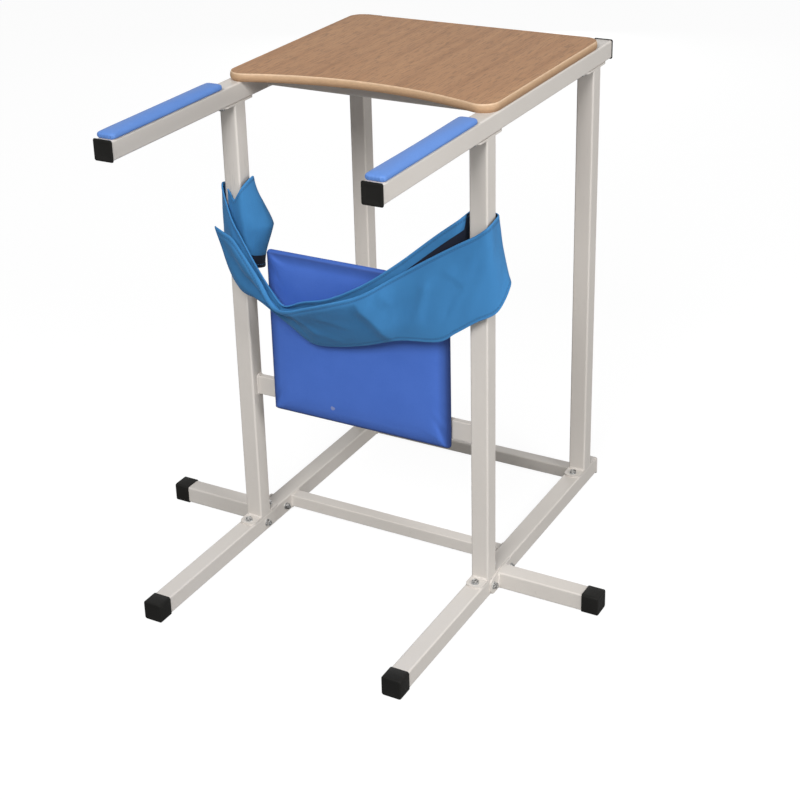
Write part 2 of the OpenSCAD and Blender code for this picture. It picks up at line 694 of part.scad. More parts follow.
// A hexagon bolt with its head above z = 0 and its shank below
module hex_bolt(l) {
    cylinder(h = bolt_head_h, r = head_r, $fn = 6);
    translate([0, 0, -l]) cylinder(h = l, r = bolt_r);
}
module washer() {
    difference() {
        cylinder(h = washer_t, d = washer_d);
        translate([0, 0, -over]) cylinder(h = washer_t + 2 * over, r = hole_r);
    }
}
module hex_nut() {
    difference() {
        cylinder(h = nut_h, r = head_r, $fn = 6);
        translate([0, 0, -over]) cylinder(h = nut_h + 2 * over, r = bolt_r + screw_fit);
    }
}

// Bolts through a plate and one tube wall into a nut welded inside the tube
short_bolt_l = washer_t + plate_t + tube_wall + nut_h + bolt_tail;
module base_bolts() color(zinc) at_posts() at_plate_bolts()
    translate([0, 0, post_low + washer_t]) hex_bolt(short_bolt_l);
module base_washers() color(zinc) at_posts() at_plate_bolts() translate([0, 0, post_low]) washer();
module base_weld_nuts() color(zinc) at_posts() at_plate_bolts()
    translate([0, 0, base_top - tube_wall - nut_h]) hex_nut();
module rail_bolts() color(zinc) at_posts() at_plate_bolts()
    translate([0, 0, post_high - washer_t]) mirror([0, 0, 1]) hex_bolt(short_bolt_l);
module rail_washers() color(zinc) at_posts() at_plate_bolts()
    translate([0, 0, post_high - washer_t]) washer();
module rail_weld_nuts() color(zinc) at_posts() at_plate_bolts()
    translate([0, 0, rail_z + tube_wall]) hex_nut();

// Bolts through an outrigger's flange plate and right through the base tube
through_bolt_l = 2 * washer_t + plate_t + tube_w + nut_h + bolt_tail;
module at_outrigger_bolts(reach) {
    for (s = sides) translate([s * (post_x + reach), outrigger_y, base_mid]) at_plate_bolts()
        rotate([0, s * 90, 0]) children();
}
module outrigger_bolts() color(zinc) at_outrigger_bolts(half + plate_t + washer_t) hex_bolt(through_bolt_l);
module outrigger_washers() {
    color(zinc) at_outrigger_bolts(half + plate_t) washer();
    color(zinc) at_outrigger_bolts(-half - washer_t) washer();
}
module outrigger_nuts() color(zinc) at_outrigger_bolts(-half - washer_t - nut_h) hex_nut();

// A pan head screw with its head below z = 0 and its shank above
module pan_screw(l) {
    translate([0, 0, -screw_head_h]) cylinder(h = screw_head_h, d = screw_head_d);
    cylinder(h = l, d = screw_d);
}
module table_screws() {
    for (s = sides, y = table_screw_ys) color(zinc) translate([s * post_x, y, rail_z])
        pan_screw(tube_w + table_bite - over);
}
module armrest_screws() {
    for (s = sides, y = arm_screw_ys) color(zinc) translate([s * post_x, y, rail_z])
        pan_screw(tube_w + arm_bite - over);
}
module knee_screws() {
    for (x = knee_screw_xs) color(zinc) translate([x, front_y + knee_bar_d, knee_bar_mid])
        rotate([90, 0, 0]) pan_screw(knee_bar_d + knee_bite - over);
}

base_tube_left();
base_tube_right();
outrigger_left();
outrigger_right();
outrigger_plates();
base_crossbar_front();
base_crossbar_rear();
post_front_left();
post_front_right();
post_rear_left();
post_rear_right();
post_base_plates();
post_top_plates();
top_rail_left();
top_rail_right();
top_crossbar_front();
top_crossbar_rear();
knee_crossbar();
foot_cap_front_left();
foot_cap_front_right();
outrigger_cap_left();
outrigger_cap_right();
base_plug_left();
base_plug_right();
rail_plug_front_left();
rail_plug_front_right();
rail_plug_rear_left();
rail_plug_rear_right();
table_board();
table_edge_band();
armrest_board_left();
armrest_board_right();
armrest_pad_left();
armrest_pad_right();
knee_board();
knee_pad();
hip_strap();
base_bolts();
base_washers();
base_weld_nuts();
rail_bolts();
rail_washers();
rail_weld_nuts();
outrigger_bolts();
outrigger_washers();
outrigger_nuts();
table_screws();
armrest_screws();
knee_screws();
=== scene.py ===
# %% [markdown]
# # A standing frame, from bare solids to a finished picture
# A person steps in between two padded armrests, stands with the knees against a padded board, and is held at the
# hips by a cloth strap slung between two posts. The steel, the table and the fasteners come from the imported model.
# This lesson gives every surface its finish and makes anew what cloth, foam and forming give a shape of their own.

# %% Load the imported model
import bpy, bmesh, json, math
import numpy as np
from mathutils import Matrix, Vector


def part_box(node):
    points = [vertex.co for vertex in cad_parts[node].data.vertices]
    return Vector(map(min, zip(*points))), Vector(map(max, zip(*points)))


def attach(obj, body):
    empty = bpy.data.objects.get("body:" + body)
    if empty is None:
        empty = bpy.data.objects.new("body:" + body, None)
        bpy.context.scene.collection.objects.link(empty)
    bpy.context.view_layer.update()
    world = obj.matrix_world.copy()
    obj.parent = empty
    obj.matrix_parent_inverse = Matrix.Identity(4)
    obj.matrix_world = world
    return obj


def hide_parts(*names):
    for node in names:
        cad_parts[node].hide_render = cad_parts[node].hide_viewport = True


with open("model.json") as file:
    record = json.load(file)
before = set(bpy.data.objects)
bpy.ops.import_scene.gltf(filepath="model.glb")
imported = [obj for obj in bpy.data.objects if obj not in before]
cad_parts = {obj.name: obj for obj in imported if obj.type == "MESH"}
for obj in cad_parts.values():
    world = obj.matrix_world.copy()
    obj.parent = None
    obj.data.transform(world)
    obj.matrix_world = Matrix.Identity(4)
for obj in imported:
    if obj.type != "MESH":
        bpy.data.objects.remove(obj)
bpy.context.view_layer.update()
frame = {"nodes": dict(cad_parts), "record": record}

scene = bpy.context.scene
scene.view_settings.view_transform = "Standard"

# %% [markdown]
# ## Where the photographer stood
# The picture was taken from the front right, above the armrests, with a long lens. Angles and distance were fitted
# to the corners of the tubes. The eye is given as steps from a point between the front posts: sideways, up and back
# along the camera's own axes. A small lens shift puts the frame where it stands in the picture.

# %% Camera
turn, tilt, lean = np.radians([30.484, 23.383, -2.008])
between_posts = np.array([0.0, -0.0905, 0.43])
aside, up, away = 0.002741, 0.190927, 3.55409
sensor_mm, focal_px, picture_px = 36, 1647.648, 800
side = np.array([math.cos(turn), math.sin(turn), 0.0])
back = np.array([math.sin(turn) * math.cos(tilt), -math.cos(turn) * math.cos(tilt), math.sin(tilt)])
rise = np.cross(back, side)
eye = between_posts + aside * side + up * rise + away * back
axes = np.eye(4)
axes[:3, 0] = math.cos(lean) * side + math.sin(lean) * rise
axes[:3, 1] = math.cos(lean) * rise - math.sin(lean) * side
axes[:3, 2], axes[:3, 3] = back, eye
lens = bpy.data.cameras.new("camera")
lens.lens, lens.sensor_width = sensor_mm * focal_px / picture_px, sensor_mm
lens.shift_x, lens.shift_y = 0.05, -0.125
camera = bpy.data.objects.new("camera", lens)
scene.collection.objects.link(camera)
camera.matrix_world = axes.T.tolist()
scene.camera = camera
print("eye at", np.round(eye, 3).tolist(), "lens", round(lens.lens, 1), "mm")

# %% [markdown]
# ## Sums on sockets
# Finishes are built from shader nodes. A small class lets a socket take part in ordinary Python sums, so that
# `1 - mask` adds a Math node by itself. A second class holds one node tree and makes every other node in one way:
# its kind, its settings, then the values or links of its sockets.

# %% The two shader classes
class Wire:
    """One shader socket: + - * / ** and abs() each add one Math node."""
    def __init__(self, tree, socket):
        self.tree, self.socket = tree, socket

    def math(self, operation, first, second=0.0):
        return self.tree.node("Math", {"operation": operation}, {0: first, 1: second})

    def __add__(self, other): return self.math("ADD", self, other)
    def __sub__(self, other): return self.math("SUBTRACT", self, other)
    def __rsub__(self, other): return self.math("SUBTRACT", other, self)
    def __mul__(self, other): return self.math("MULTIPLY", self, other)
    def __truediv__(self, other): return self.math("DIVIDE", self, other)
    def __rtruediv__(self, other): return self.math("DIVIDE", other, self)
    def __pow__(self, other): return self.math("POWER", self, other)
    def __rpow__(self, other): return self.math("POWER", other, self)
    def __abs__(self): return self.math("ABSOLUTE", self)
    __radd__, __rmul__ = __add__, __mul__


class Tree:
    """The node tree of a material or of the world, emptied and filled through node()."""
    def __init__(self, owner):
        owner.use_nodes = True
        self.owner, self.tree = owner, owner.node_tree
        self.tree.nodes.clear()

    def node(self, kind, settings={}, sockets={}, out=0):
        made = self.tree.nodes.new("ShaderNode" + kind)
        for name, value in settings.items():
            if name == "stops":
                dots = made.color_ramp.elements
                while len(dots) < len(value):
                    dots.new(1.0)
                for dot, (place, colour) in zip(dots, value):
                    dot.position, dot.color = place, (*colour, 1)
            else:
                setattr(made, name, value)
        for name, value in sockets.items():
            if isinstance(value, Wire):
                self.tree.links.new(value.socket, made.inputs[name])
            else:
                made.inputs[name].default_value = value
        return Wire(self, made.outputs[out]) if len(made.outputs) else made

    def place(self, stretch=(1, 1, 1), by="Object"):
        return self.node("Mapping", {}, {"Vector": self.node("TexCoord", out=by), "Scale": stretch})

    def mark(self, name):
        """The number that an attribute of the mesh gives each point."""
        return self.node("Attribute", {"attribute_name": name}, {}, 2)

    def noise(self, where, grain, detail=3.0, rough=0.5, twist=0.0):
        """Cloudy values about 0.5; grain is the size of one cloud in metres."""
        return self.node("TexNoise", {}, {"Vector": where, "Scale": 1 / grain, "Detail": detail,
                                          "Roughness": rough, "Distortion": twist})

    def rise(self, value, low, high):
        """0 below low, 1 above high, with a smooth rise between them."""
        return self.node("MapRange", {"interpolation_type": "SMOOTHSTEP"},
                         {"Value": value, "From Min": low, "From Max": high})

    def axis(self, letter, by="Object"):
        return self.node("SeparateXYZ", {}, {0: self.place(by=by)}, letter)

    def blend(self, share, first, second):
        def ink(c): return c if isinstance(c, Wire) else (*c, 1)
        return self.node("Mix", {"data_type": "RGBA"}, {0: share, 6: ink(first), 7: ink(second)}, 2)

    def shade(self, colour, share):
        """The colour made lighter or darker by a share that varies over the surface."""
        grey = self.node("CombineXYZ", {}, {0: share, 1: share, 2: share})
        return self.node("Mix", {"data_type": "RGBA", "blend_type": "MULTIPLY"}, {0: 1.0, 6: colour, 7: grey}, 2)

    def surface(self, colour, roughness, height, depth, shine=0.5, **steady):
        """A Principled surface: depth in metres is the height of the bump where its input goes from 0 to 1."""
        bump = self.node("Bump", {}, {"Strength": 1.0, "Distance": depth, "Height": height})
        sockets = {"Base Color": colour, "Roughness": roughness, "Specular IOR Level": shine, "Normal": bump}
        sockets.update({name.replace("_", " "): value for name, value in steady.items()})
        self.node("OutputMaterial", {}, {"Surface": self.node("BsdfPrincipled", {}, sockets)})


def finish(name):
    return Tree(bpy.data.materials.new(name))


def tell(*finishes):
    print("shader nodes:", {made.owner.name: len(made.tree.nodes) for made in finishes})

# %% [markdown]
# ## A pale studio
# The frame stands on a white sweep under a high soft box in front and a weaker one on the right, with a small low
# fill from the right and a faint lamp behind for the far sides. The floor and the sky show white to the camera and
# in reflections, but the light that falls on the frame stays at a plain level, so that a colour renders about as it
# is written. A wide floor keeps the frame's own soft shadow.

# %% Floor, sky and lamps
far = 15
floor_mesh = bpy.data.meshes.new("floor")
floor_mesh.from_pydata([(-far, -far, 0), (far, -far, 0), (far, far, 0), (-far, far, 0)], [], [(0, 1, 2, 3)])
floor = bpy.data.objects.new("floor", floor_mesh)
scene.collection.objects.link(floor)
sweep = finish("white_sweep")
dim, bright, glow, glow_share = (0.36, 0.36, 0.36), (0.55, 0.55, 0.55), 1.17, 0.80
seen = sweep.node("LightPath")
matt = sweep.node("BsdfDiffuse", {}, {"Color": sweep.blend(seen, dim, bright)})
white = sweep.node("Emission", {}, {"Color": (1, 1, 1, 1), "Strength": glow})
both = sweep.node("MixShader", {}, {0: seen * glow_share, 1: matt, 2: white})
sweep.node("OutputMaterial", {}, {"Surface": both})
floor_mesh.materials.append(sweep.owner)

sky = Tree(bpy.data.worlds.new("sky"))
scene.world = sky.owner
shown = sum(sky.node("LightPath", out=f"Is {kind} Ray") for kind in ("Camera", "Glossy", "Transmission"))
soft = sky.node("Background", {}, {"Color": (0.98, 0.99, 1.0, 1), "Strength": 0.19})
clear = sky.node("Background", {}, {"Color": (1, 1, 1, 1), "Strength": 1.0})
sky.node("OutputWorld", {}, {"Surface": sky.node("MixShader", {}, {0: shown, 1: soft, 2: clear})})


def unit(vectors):
    return vectors / np.maximum(np.linalg.norm(vectors, axis=-1, keepdims=True), 1e-12)


def lamp(name, at, aim, size, power):
    """A square soft box at one point, turned to face another."""
    light = bpy.data.lights.new(name, "AREA")
    light.size, light.energy = size, power
    box = bpy.data.objects.new(name, light)
    scene.collection.objects.link(box)
    z = unit(np.array(at) - np.array(aim))
    x = unit(np.cross((0, 0, 1), z))
    turned = np.eye(4)
    turned[:3, 0], turned[:3, 1], turned[:3, 2], turned[:3, 3] = x, np.cross(z, x), z, at
    box.matrix_world = turned.T.tolist()
    box.visible_camera = False


lamp("key", at=(0.78, -4.15, 4.3), aim=(0, 0, 0.5), size=2.2, power=238)
lamp("side", at=(3.9, -1.2, 3.2), aim=(0, 0, 0.55), size=1.2, power=73)
lamp("fill", at=(4.2, -0.42, 1.15), aim=(0, 0, 0.6), size=0.45, power=42)
lamp("rear", at=(-1.9, 4.3, 0.56), aim=(0, 0, 0.6), size=1.0, power=22)

# %% [markdown]
# ## Powder-coated steel
# The tubes are sprayed with a warm ivory-grey powder and baked. The coat has a faint orange peel, small colour
# drift, grey rub marks where the strap slides on the posts, and dirt low on the base. One finish read in Object
# coordinates serves all tubes, because they share the frame's own axes.

# %% Ivory-grey powder coat
paint = finish("ivory_powder_coat")
here = paint.place()
drift = paint.noise(here, 0.22, 2)
height_up = paint.axis("Z")
coat_deep, coat_pale = (0.640, 0.598, 0.552), (0.690, 0.650, 0.606)
dirt, bare = (0.30, 0.27, 0.235), (0.40, 0.39, 0.375)
near_floor = 1 - paint.rise(height_up, 0.0, 0.075)
grime = near_floor * paint.rise(paint.noise(here, 0.009, 5, 0.65), 0.62, 0.80)
strokes = paint.noise(paint.place((1, 1, 0.06)), 0.0035, 2)
rubbed = paint.rise(height_up, 0.62, 0.72) * (1 - paint.rise(height_up, 0.88, 0.98))
rubs = rubbed * paint.rise(strokes, 0.58, 0.72) * paint.rise(drift, 0.42, 0.6)
scuffs = paint.rise(paint.noise(paint.place((0.25, 1, 1)), 0.006, 4, 0.6), 0.66, 0.76)
coat = paint.blend(drift, coat_deep, coat_pale)
coat = paint.blend(grime * 0.4, coat, dirt)
coat = paint.blend(rubs * 0.35 + scuffs * 0.18, coat, bare)
peel = paint.noise(here, 0.0022, 2)
paint.surface(coat, 0.36 + 0.10 * drift + 0.2 * grime, peel, 0.00008, shine=0.45)
tell(paint)

# %% [markdown]
# ## Moulded caps
# Soft black plastic caps close most tube ends, grey ones the rear ends of the base. Moulding leaves a fine
# spark-eroded grain, and handling leaves dull patches and a little pale dust, so roughness and colour both drift.

# %% Black and grey moulded plastic
patch, grain, grain_deep = 0.014, 0.0009, 0.00007
black = finish("black_moulded_plastic")
here = black.place()
dull = black.noise(here, patch, 4, 0.6)
dust = black.rise(black.noise(here, 0.0016, 3, 0.7), 0.64, 0.8)
ink = black.blend(dust * 0.5, (0.0155, 0.0151, 0.0140), (0.056, 0.053, 0.048))
black.surface(ink, 0.42 + 0.22 * dull, black.noise(here, grain, 2), grain_deep, shine=0.06)
grey = finish("grey_moulded_plastic")
here = grey.place()
dull = grey.noise(here, patch, 4, 0.6)
ash = grey.blend(dull, (0.52, 0.49, 0.46), (0.62, 0.59, 0.56))
grey.surface(ash, 0.34 + 0.22 * dull, grey.noise(here, grain, 2), grain_deep, shine=0.3)
tell(black, grey)

# %% [markdown]
# ## The wood-grain table
# The table is chipboard faced with printed oak and edged with a band. The band's colour is painted darker low down
# as shade and lighter up to its rounded rim, with a painted highlight along the top. The grain runs from the person
# towards the back. Long stretched noise gives the broad figure, finer noise the streaks, and short dark dashes the
# pores. All of it is stretched along Y with a Mapping node.

# %% Oak facing and edge band
oak = finish("oak_facing")
bend = oak.noise(oak.place((1, 0.35, 1)), 0.16, 2)
figure = oak.noise(oak.place((1, 0.045, 1)), 0.021, 4, 0.55, 0.35)
streak = oak.noise(oak.place((1, 0.035, 1)), 0.0032, 4, 0.65)
pores = oak.rise(oak.noise(oak.place((1, 0.09, 1)), 0.0036, 4, 0.70), 0.50, 0.62)
wood = oak.node("ValToRGB", {"stops": [(0.22, (0.285, 0.140, 0.064)), (0.45, (0.410, 0.216, 0.106)),
                                       (0.62, (0.465, 0.254, 0.128)), (0.85, (0.375, 0.194, 0.092))]},
                {0: figure * 0.72 + bend * 0.28})
wood = oak.shade(wood, 0.80 + 0.46 * streak)
pore_brown = (0.170, 0.090, 0.046)
wood = oak.blend(pores * 0.52, wood, pore_brown)
oak.surface(wood, 0.46 + 0.14 * streak, 1 - pores, 0.00006, shine=0.22)

band = finish("oak_edge_band")
band_tall = 0.018
level = (band.axis("Z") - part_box("table_edge_band")[0].z) / band_tall
lines = band.noise(band.place((0.05, 0.05, 1)), 0.0011, 2)
fleck = band.noise(band.place((0.4, 0.4, 1)), 0.0026, 3, 0.6)
# Painted light: darker low on the band as painted shade, rising to a pale painted highlight at the top of its rim.
rim = band.node("ValToRGB", {"stops": [(0.0, (0.305, 0.178, 0.098)), (0.50, (0.460, 0.290, 0.168)),
                                       (0.78, (0.510, 0.335, 0.202)), (0.93, (0.700, 0.500, 0.330))]},
               {0: level * 0.92 + lines * 0.08})
band.surface(band.shade(rim, 0.66 + 0.36 * lines + 0.34 * fleck), 0.56, lines, 0.00005, shine=0.3)
tell(oak, band)

# %% [markdown]
# ## Plywood and steel
# The pads are built on birch plywood that shows only from behind; vinyl is drawn round its sides, so the finish
# turns blue just off the board's bare face. Washers and screws are zinc plated: bright, slightly blue, with dull
# blotches from the bath. Bolts and nuts are older and spotted darker.

# %% Birch board and zinc
birch = finish("birch_plywood")
grain = birch.noise(birch.place((0.06, 1, 1)), 0.004, 4, 0.6, 0.2)
plain = birch.blend(grain, (0.46, 0.32, 0.19), (0.62, 0.47, 0.31))
arm_blue, knee_blue = (0.080, 0.180, 0.470), (0.030, 0.062, 0.215)
arm_board = birch.rise(birch.axis("Z"), 0.90, 0.92)
off_back = (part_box("knee_board")[1].y - birch.axis("Y")) * (1 - arm_board)
off_back = off_back + (birch.axis("Z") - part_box("armrest_board_left")[0].z) * arm_board
wrapped = birch.blend(arm_board, knee_blue, arm_blue)
plain = birch.blend(birch.rise(off_back, 0.0002, 0.0006), plain, wrapped)
birch.surface(plain, 0.62 + 0.1 * grain, grain, 0.0001)

pitting = 0.00003
zinc = finish("zinc_plate")
cloud = zinc.noise(zinc.place(), 0.004, 4, 0.6)
plate = zinc.blend(cloud, (0.50, 0.50, 0.49), (0.70, 0.71, 0.72))
zinc.surface(plate, 0.26 + 0.22 * cloud, cloud, pitting, Metallic=1.0)

steel = finish("dull_bolt_steel")
cloud = steel.noise(steel.place(), 0.003, 4, 0.6)
spotted = steel.blend(steel.rise(cloud, 0.38, 0.62), (0.10, 0.10, 0.10), (0.68, 0.68, 0.67))
steel.surface(spotted, 0.34 + 0.22 * cloud, cloud, pitting, Metallic=1.0)
tell(birch, zinc, steel)

# %% [markdown]
# ## Vinyl covers
# Armrests and knee pad are foam under coated cloth, a clear blue on the arms and a deeper one at the knees. The
# coating is embossed with a leather-like grain of small cells, and it is a little glossier on the ridges that hands
# and knees rub. A Voronoi pattern gives the cells. The knee cover's sides, where it turns round the edge, are
# painted dark navy as shade, less so on its top side, and it has one small pale scuff.

# %% Blue vinyls
def vinyl(name, deep, bright):
    """Embossed coated cloth between two blues."""
    skin = finish(name)
    here = skin.place()
    cells = skin.node("TexVoronoi", {"feature": "SMOOTH_F1"}, {"Vector": here, "Scale": 520.0, "Smoothness": 0.6})
    wear = skin.noise(here, 0.055, 3)
    fine = skin.noise(here, 0.0035, 3)
    blue = skin.blend(wear * 0.7 + fine * 0.3, deep, bright)
    relief = cells * 0.8 + fine * 0.4
    return skin, skin.blend(skin.rise(cells, 0.5, 0.8) * 0.25, blue, deep), 0.40 + 0.16 * wear, relief


emboss, side_shade_navy, scuff_grey = 0.00018, (0.012, 0.026, 0.105), (0.36, 0.37, 0.52)
scuff_x, scuff_z, scuff_wide = -0.0636, 0.3766, 0.0060
arms, blue, gloss, relief = vinyl("armrest_vinyl", (0.093, 0.213, 0.554), (0.129, 0.271, 0.647))
arms.surface(blue, gloss, relief, emboss, shine=0.3)
knees, blue, gloss, relief = vinyl("knee_vinyl", (0.052, 0.138, 0.520), (0.075, 0.180, 0.610))
# Painted shade: the knee cover's sides are blended to dark navy, less on the top side, which stays lighter as if lit.
shaded_sides = knees.rise(knees.axis("Y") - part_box("knee_pad")[0].y, 0.004, 0.008)
lit_top_side = knees.rise(knees.axis("Z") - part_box("knee_pad")[1].z, -0.008, -0.003)
blue = knees.blend(shaded_sides * (0.8 - 0.6 * lit_top_side), blue, side_shade_navy)
from_scuff = (abs(knees.axis("X") - scuff_x) ** 2 + abs(knees.axis("Z") - scuff_z) ** 2) ** 0.5
ragged = scuff_wide + 0.008 * (knees.noise(knees.place(), 0.005) - 0.5)
blue = knees.blend(knees.rise(ragged - from_scuff, 0, 0.0015) * 0.6, blue, scuff_grey)
knees.surface(blue, gloss, relief, emboss, shine=0.3)
tell(arms, knees)

# %% [markdown]
# ## Strap cloth
# The hip strap is a woven canvas, doubled and hemmed. Its own UV map holds the distance along and across the strip
# in metres, so the weave follows every fold: warp and weft are two crossed sine rows. The inner face is painted dark
# navy: a dark lining by the right post, and painted shade in the gap between the layers and under the left panel.
# The seams are painted darker as shade in their dip, the very edge lighter as a painted highlight, and the strip up
# to the large fold darker as painted shade. Three attributes on the mesh mark them.

# %% Canvas and thread
canvas = finish("strap_canvas")
pick, seam_in = 0.0014, 0.0082
warp, weft = (canvas.node("Math", {"operation": "SINE"}, {0: canvas.axis(letter, "UV") * (math.tau / pick)})
              for letter in "XY")
weave = warp * weft * 0.5 + 0.5
slub = canvas.noise(canvas.place((1, 0.05, 1), by="UV"), 0.0030, 3)
cloudy = canvas.noise(canvas.place(), 0.07, 3)
cloth = canvas.blend(cloudy * 0.6 + slub * 0.4, (0.036, 0.178, 0.408), (0.052, 0.238, 0.518))
# Painted shade: the strip up to the large fold is painted about a quarter darker.
painted_shade_before_fold = canvas.rise(canvas.mark("nap") + 0.012 * (cloudy - 0.5), -0.002, 0.007)
off_edge = canvas.mark("off_edge")
# Painted shade along the seam's dip, and a painted highlight along the very edge of the strip.
seam_painted_shade = 1 - canvas.rise(abs(off_edge - seam_in), 0.0010, 0.0030)
edge_painted_highlight = 1 - canvas.rise(off_edge, 0.0010, 0.0040)
cloth = canvas.shade(cloth, (0.90 + 0.16 * weave) * (1 - 0.25 * painted_shade_before_fold) * (1 - 0.30 * seam_painted_shade + 0.12 * edge_painted_highlight))
# Dark navy on the inner face: a dark lining by the right post, painted shade between the layers and under the left
# panel.
lining_and_shade_mask, lining_and_shade_navy = canvas.rise(canvas.mark("lining"), -0.0006, 0.0006), (0.006, 0.009, 0.022)
cloth = canvas.blend(lining_and_shade_mask, cloth, lining_and_shade_navy)
canvas.surface(cloth, 0.74 + 0.12 * slub, weave * 0.7 + slub * 0.6, 0.00022, shine=0.28,
               Sheen_Weight=0.18, Sheen_Roughness=0.45, Sheen_Tint=(0.55, 0.75, 1.0, 1))

thread = finish("strap_thread")
twist = thread.noise(thread.place(), 0.0008, 2)
thread.surface(thread.blend(twist, (0.042, 0.180, 0.42), (0.060, 0.235, 0.52)), 0.55 + 0.2 * twist, twist, 0.00008)
tell(canvas, thread)

# %% [markdown]
# ## Dressing the solids
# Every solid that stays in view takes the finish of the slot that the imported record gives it. Only the material slot
# changes, never the mesh.

# %% Slots to finishes
wardrobe = {"frame_paint": paint, "cap_black": black, "plug_grey": grey, "table_wood": oak, "table_edge": band,
            "pad_board": birch, "arm_vinyl": arms, "knee_vinyl": knees, "strap_cloth": canvas,
            "zinc_steel": zinc}
for row in frame["record"]["subparts"]:
    solid = frame["nodes"][row["node"]].data
    solid.materials.clear()
    solid.materials.append(wardrobe[row["material_slot"]].owner)

# %% [markdown]
# ## Surfaces from arrays
# Each new piece is a grid of points worked out at once with numpy. One helper joins neighbouring points of one or
# many grids into quads, another makes the object: it merges doubled points, turns all faces outwards, keeps edges
# sharp above an angle, and ties the piece to its body, its slot and the solid that it stands for.

# %% Helpers for new pieces
def quilt(points, wrap=True):
    """Quads of one or many grids (..., rows, columns, 3): each point joins the next in its row and the next row."""
    rows, columns = points.shape[-3:-1]
    i, j = np.meshgrid(np.arange(rows - 1), np.arange(columns - (not wrap)), indexing="ij")
    k = (j + 1) % columns
    quads = np.stack([i * columns + j, i * columns + k, (i + 1) * columns + k, (i + 1) * columns + j], -1)
    copies = np.arange(points.size // (rows * columns * 3)) * rows * columns
    return points.reshape(-1, 3), (quads.reshape(-1, 4) + copies[:, None, None]).reshape(-1, 4)


def joined(parts):
    """Several (points, quads) pairs as one pair."""
    starts = np.cumsum([0] + [len(points) for points, _ in parts[:-1]])
    return np.concatenate([p for p, _ in parts]), np.concatenate([q + s for (_, q), s in zip(parts, starts)])


def make(name, shape, body, slot, sharp, stands_for=(), flat=None, look=None, marks={}):
    """One mesh object from (points, quads); sharp is in degrees, flat each point's UV pair, marks its attributes."""
    points, quads = shape
    mesh = bpy.data.meshes.new(name)
    mesh.from_pydata(points.tolist(), [], quads.tolist())
    if flat is not None:
        mesh.uv_layers.new(name="flat").data.foreach_set("uv", flat[quads].astype(np.float32).ravel())
    for mark, values in marks.items():
        mesh.attributes.new(mark, "FLOAT", "POINT").data.foreach_set("value", values.astype(np.float32))
    work = bmesh.new()
    work.from_mesh(mesh)
    bmesh.ops.remove_doubles(work, verts=work.verts, dist=2e-6)
    bmesh.ops.dissolve_degenerate(work, edges=work.edges, dist=1e-7)
    bmesh.ops.recalc_face_normals(work, faces=work.faces)
    work.to_mesh(mesh)
    work.free()
    mesh.shade_smooth()
    mesh.set_sharp_from_angle(angle=math.radians(sharp))
    piece = bpy.data.objects.new(name, mesh)
    scene.collection.objects.link(piece)
    mesh.materials.append((look or wardrobe[slot]).owner)
    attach(piece, body)
    if stands_for:
        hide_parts(*stands_for)
    print(f"{name}: {len(mesh.polygons)} faces")
    return piece


def rounded(half_a, half_b, corner, steps=6):
    """Closed outline of a rectangle with quarter-circle corners, anticlockwise, as (n, 2) points."""
    start = np.arange(4)[:, None] * np.pi / 2
    angle = start + np.linspace(0, np.pi / 2, steps)
    centre = start + np.pi / 4
    return np.stack([(half_a - corner) * np.sign(np.cos(centre)) + corner * np.cos(angle),
                     (half_b - corner) * np.sign(np.sin(centre)) + corner * np.sin(angle)], -1).reshape(-1, 2)


def stacked(outlines, levels):
    """Rings of points: each flat outline at its own level."""
    return np.stack([np.column_stack([line, np.full(len(line), z)]) for line, z in zip(outlines, levels)])


def laid(rings, origin, axis, way):
    """Rings set at an origin, with their height along one axis, forwards (1) or backwards (-1)."""
    points = np.empty_like(rings)
    points[..., [a for a in range(3) if a != axis]] = rings[..., :2]
    points[..., axis] = way * rings[..., 2]
    return origin + points


def middle(node):
    low, high = np.array(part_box(node))
    return (low + high) / 2, high - low


def read_off(at, places, points):
    """Points at the given places along a row of points, straight between neighbours."""
    return np.stack([np.interp(at, places, column) for column in points.T], -1)


def distance(path):
    """Distance along a path at each of its points."""
    return np.concatenate([[0], np.cumsum(np.linalg.norm(np.diff(path, axis=0), axis=1))])


quarter = np.linspace(0, np.pi / 2, 6)
bow = np.stack([np.cos(quarter), np.sin(quarter)], -1)
post_mid, post_size = middle("post_front_right")
rear_mid, _ = middle("post_rear_right")
foot_z, head_z = (corner.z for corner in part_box("post_front_right"))
half = post_size[0] / 2
posts = np.array([(s * post_mid[0], y) for y in (post_mid[1], rear_mid[1]) for s in (-1, 1)])
print("post axes:", np.round(posts, 4).tolist(), "from", round(foot_z, 4), "to", round(head_z, 4))

# %% [markdown]
# ## Weld beads
# Posts are welded to their end plates, cross bars to the rails and outriggers to their flanges. A fillet weld is a
# quarter round in the corner between two walls, with a ripple for each puddle. Here that profile is carried along
# each seam: straight seams taper to a point at both ends, and a seam round a bar closes on itself.

# %% Weld seams
def bead(path, along_wall, off_wall, leg, closed=False):
    """A quarter circle of radius leg between two wall directions at each path point; it swells with every puddle and
    more slowly with the welder's hand."""
    run = distance(path)
    puddle, hand, root = 0.0026, 0.0093, (-0.12, -0.12)
    swell = 1 + 0.11 * np.sin(math.tau * run / puddle) + 0.07 * np.sin(math.tau * run / hand + path[0, 1] * 90)
    if not closed:
        swell *= np.sqrt(np.clip(1 - (2 * run / run[-1] - 1) ** 8, 0, 1))
    legs = np.concatenate([[root], bow ** 0.9]) * leg
    legs = legs[None] * swell[:, None, None]
    along, off = (np.atleast_2d(wall)[:, None] for wall in (along_wall, off_wall))
    return path[:, None] + legs[..., :1] * along + legs[..., 1:] * off


def straight(start, end, along_wall, off_wall, leg=0.0032, dots=85):
    return bead(np.linspace(start, end, dots), along_wall, off_wall, leg)


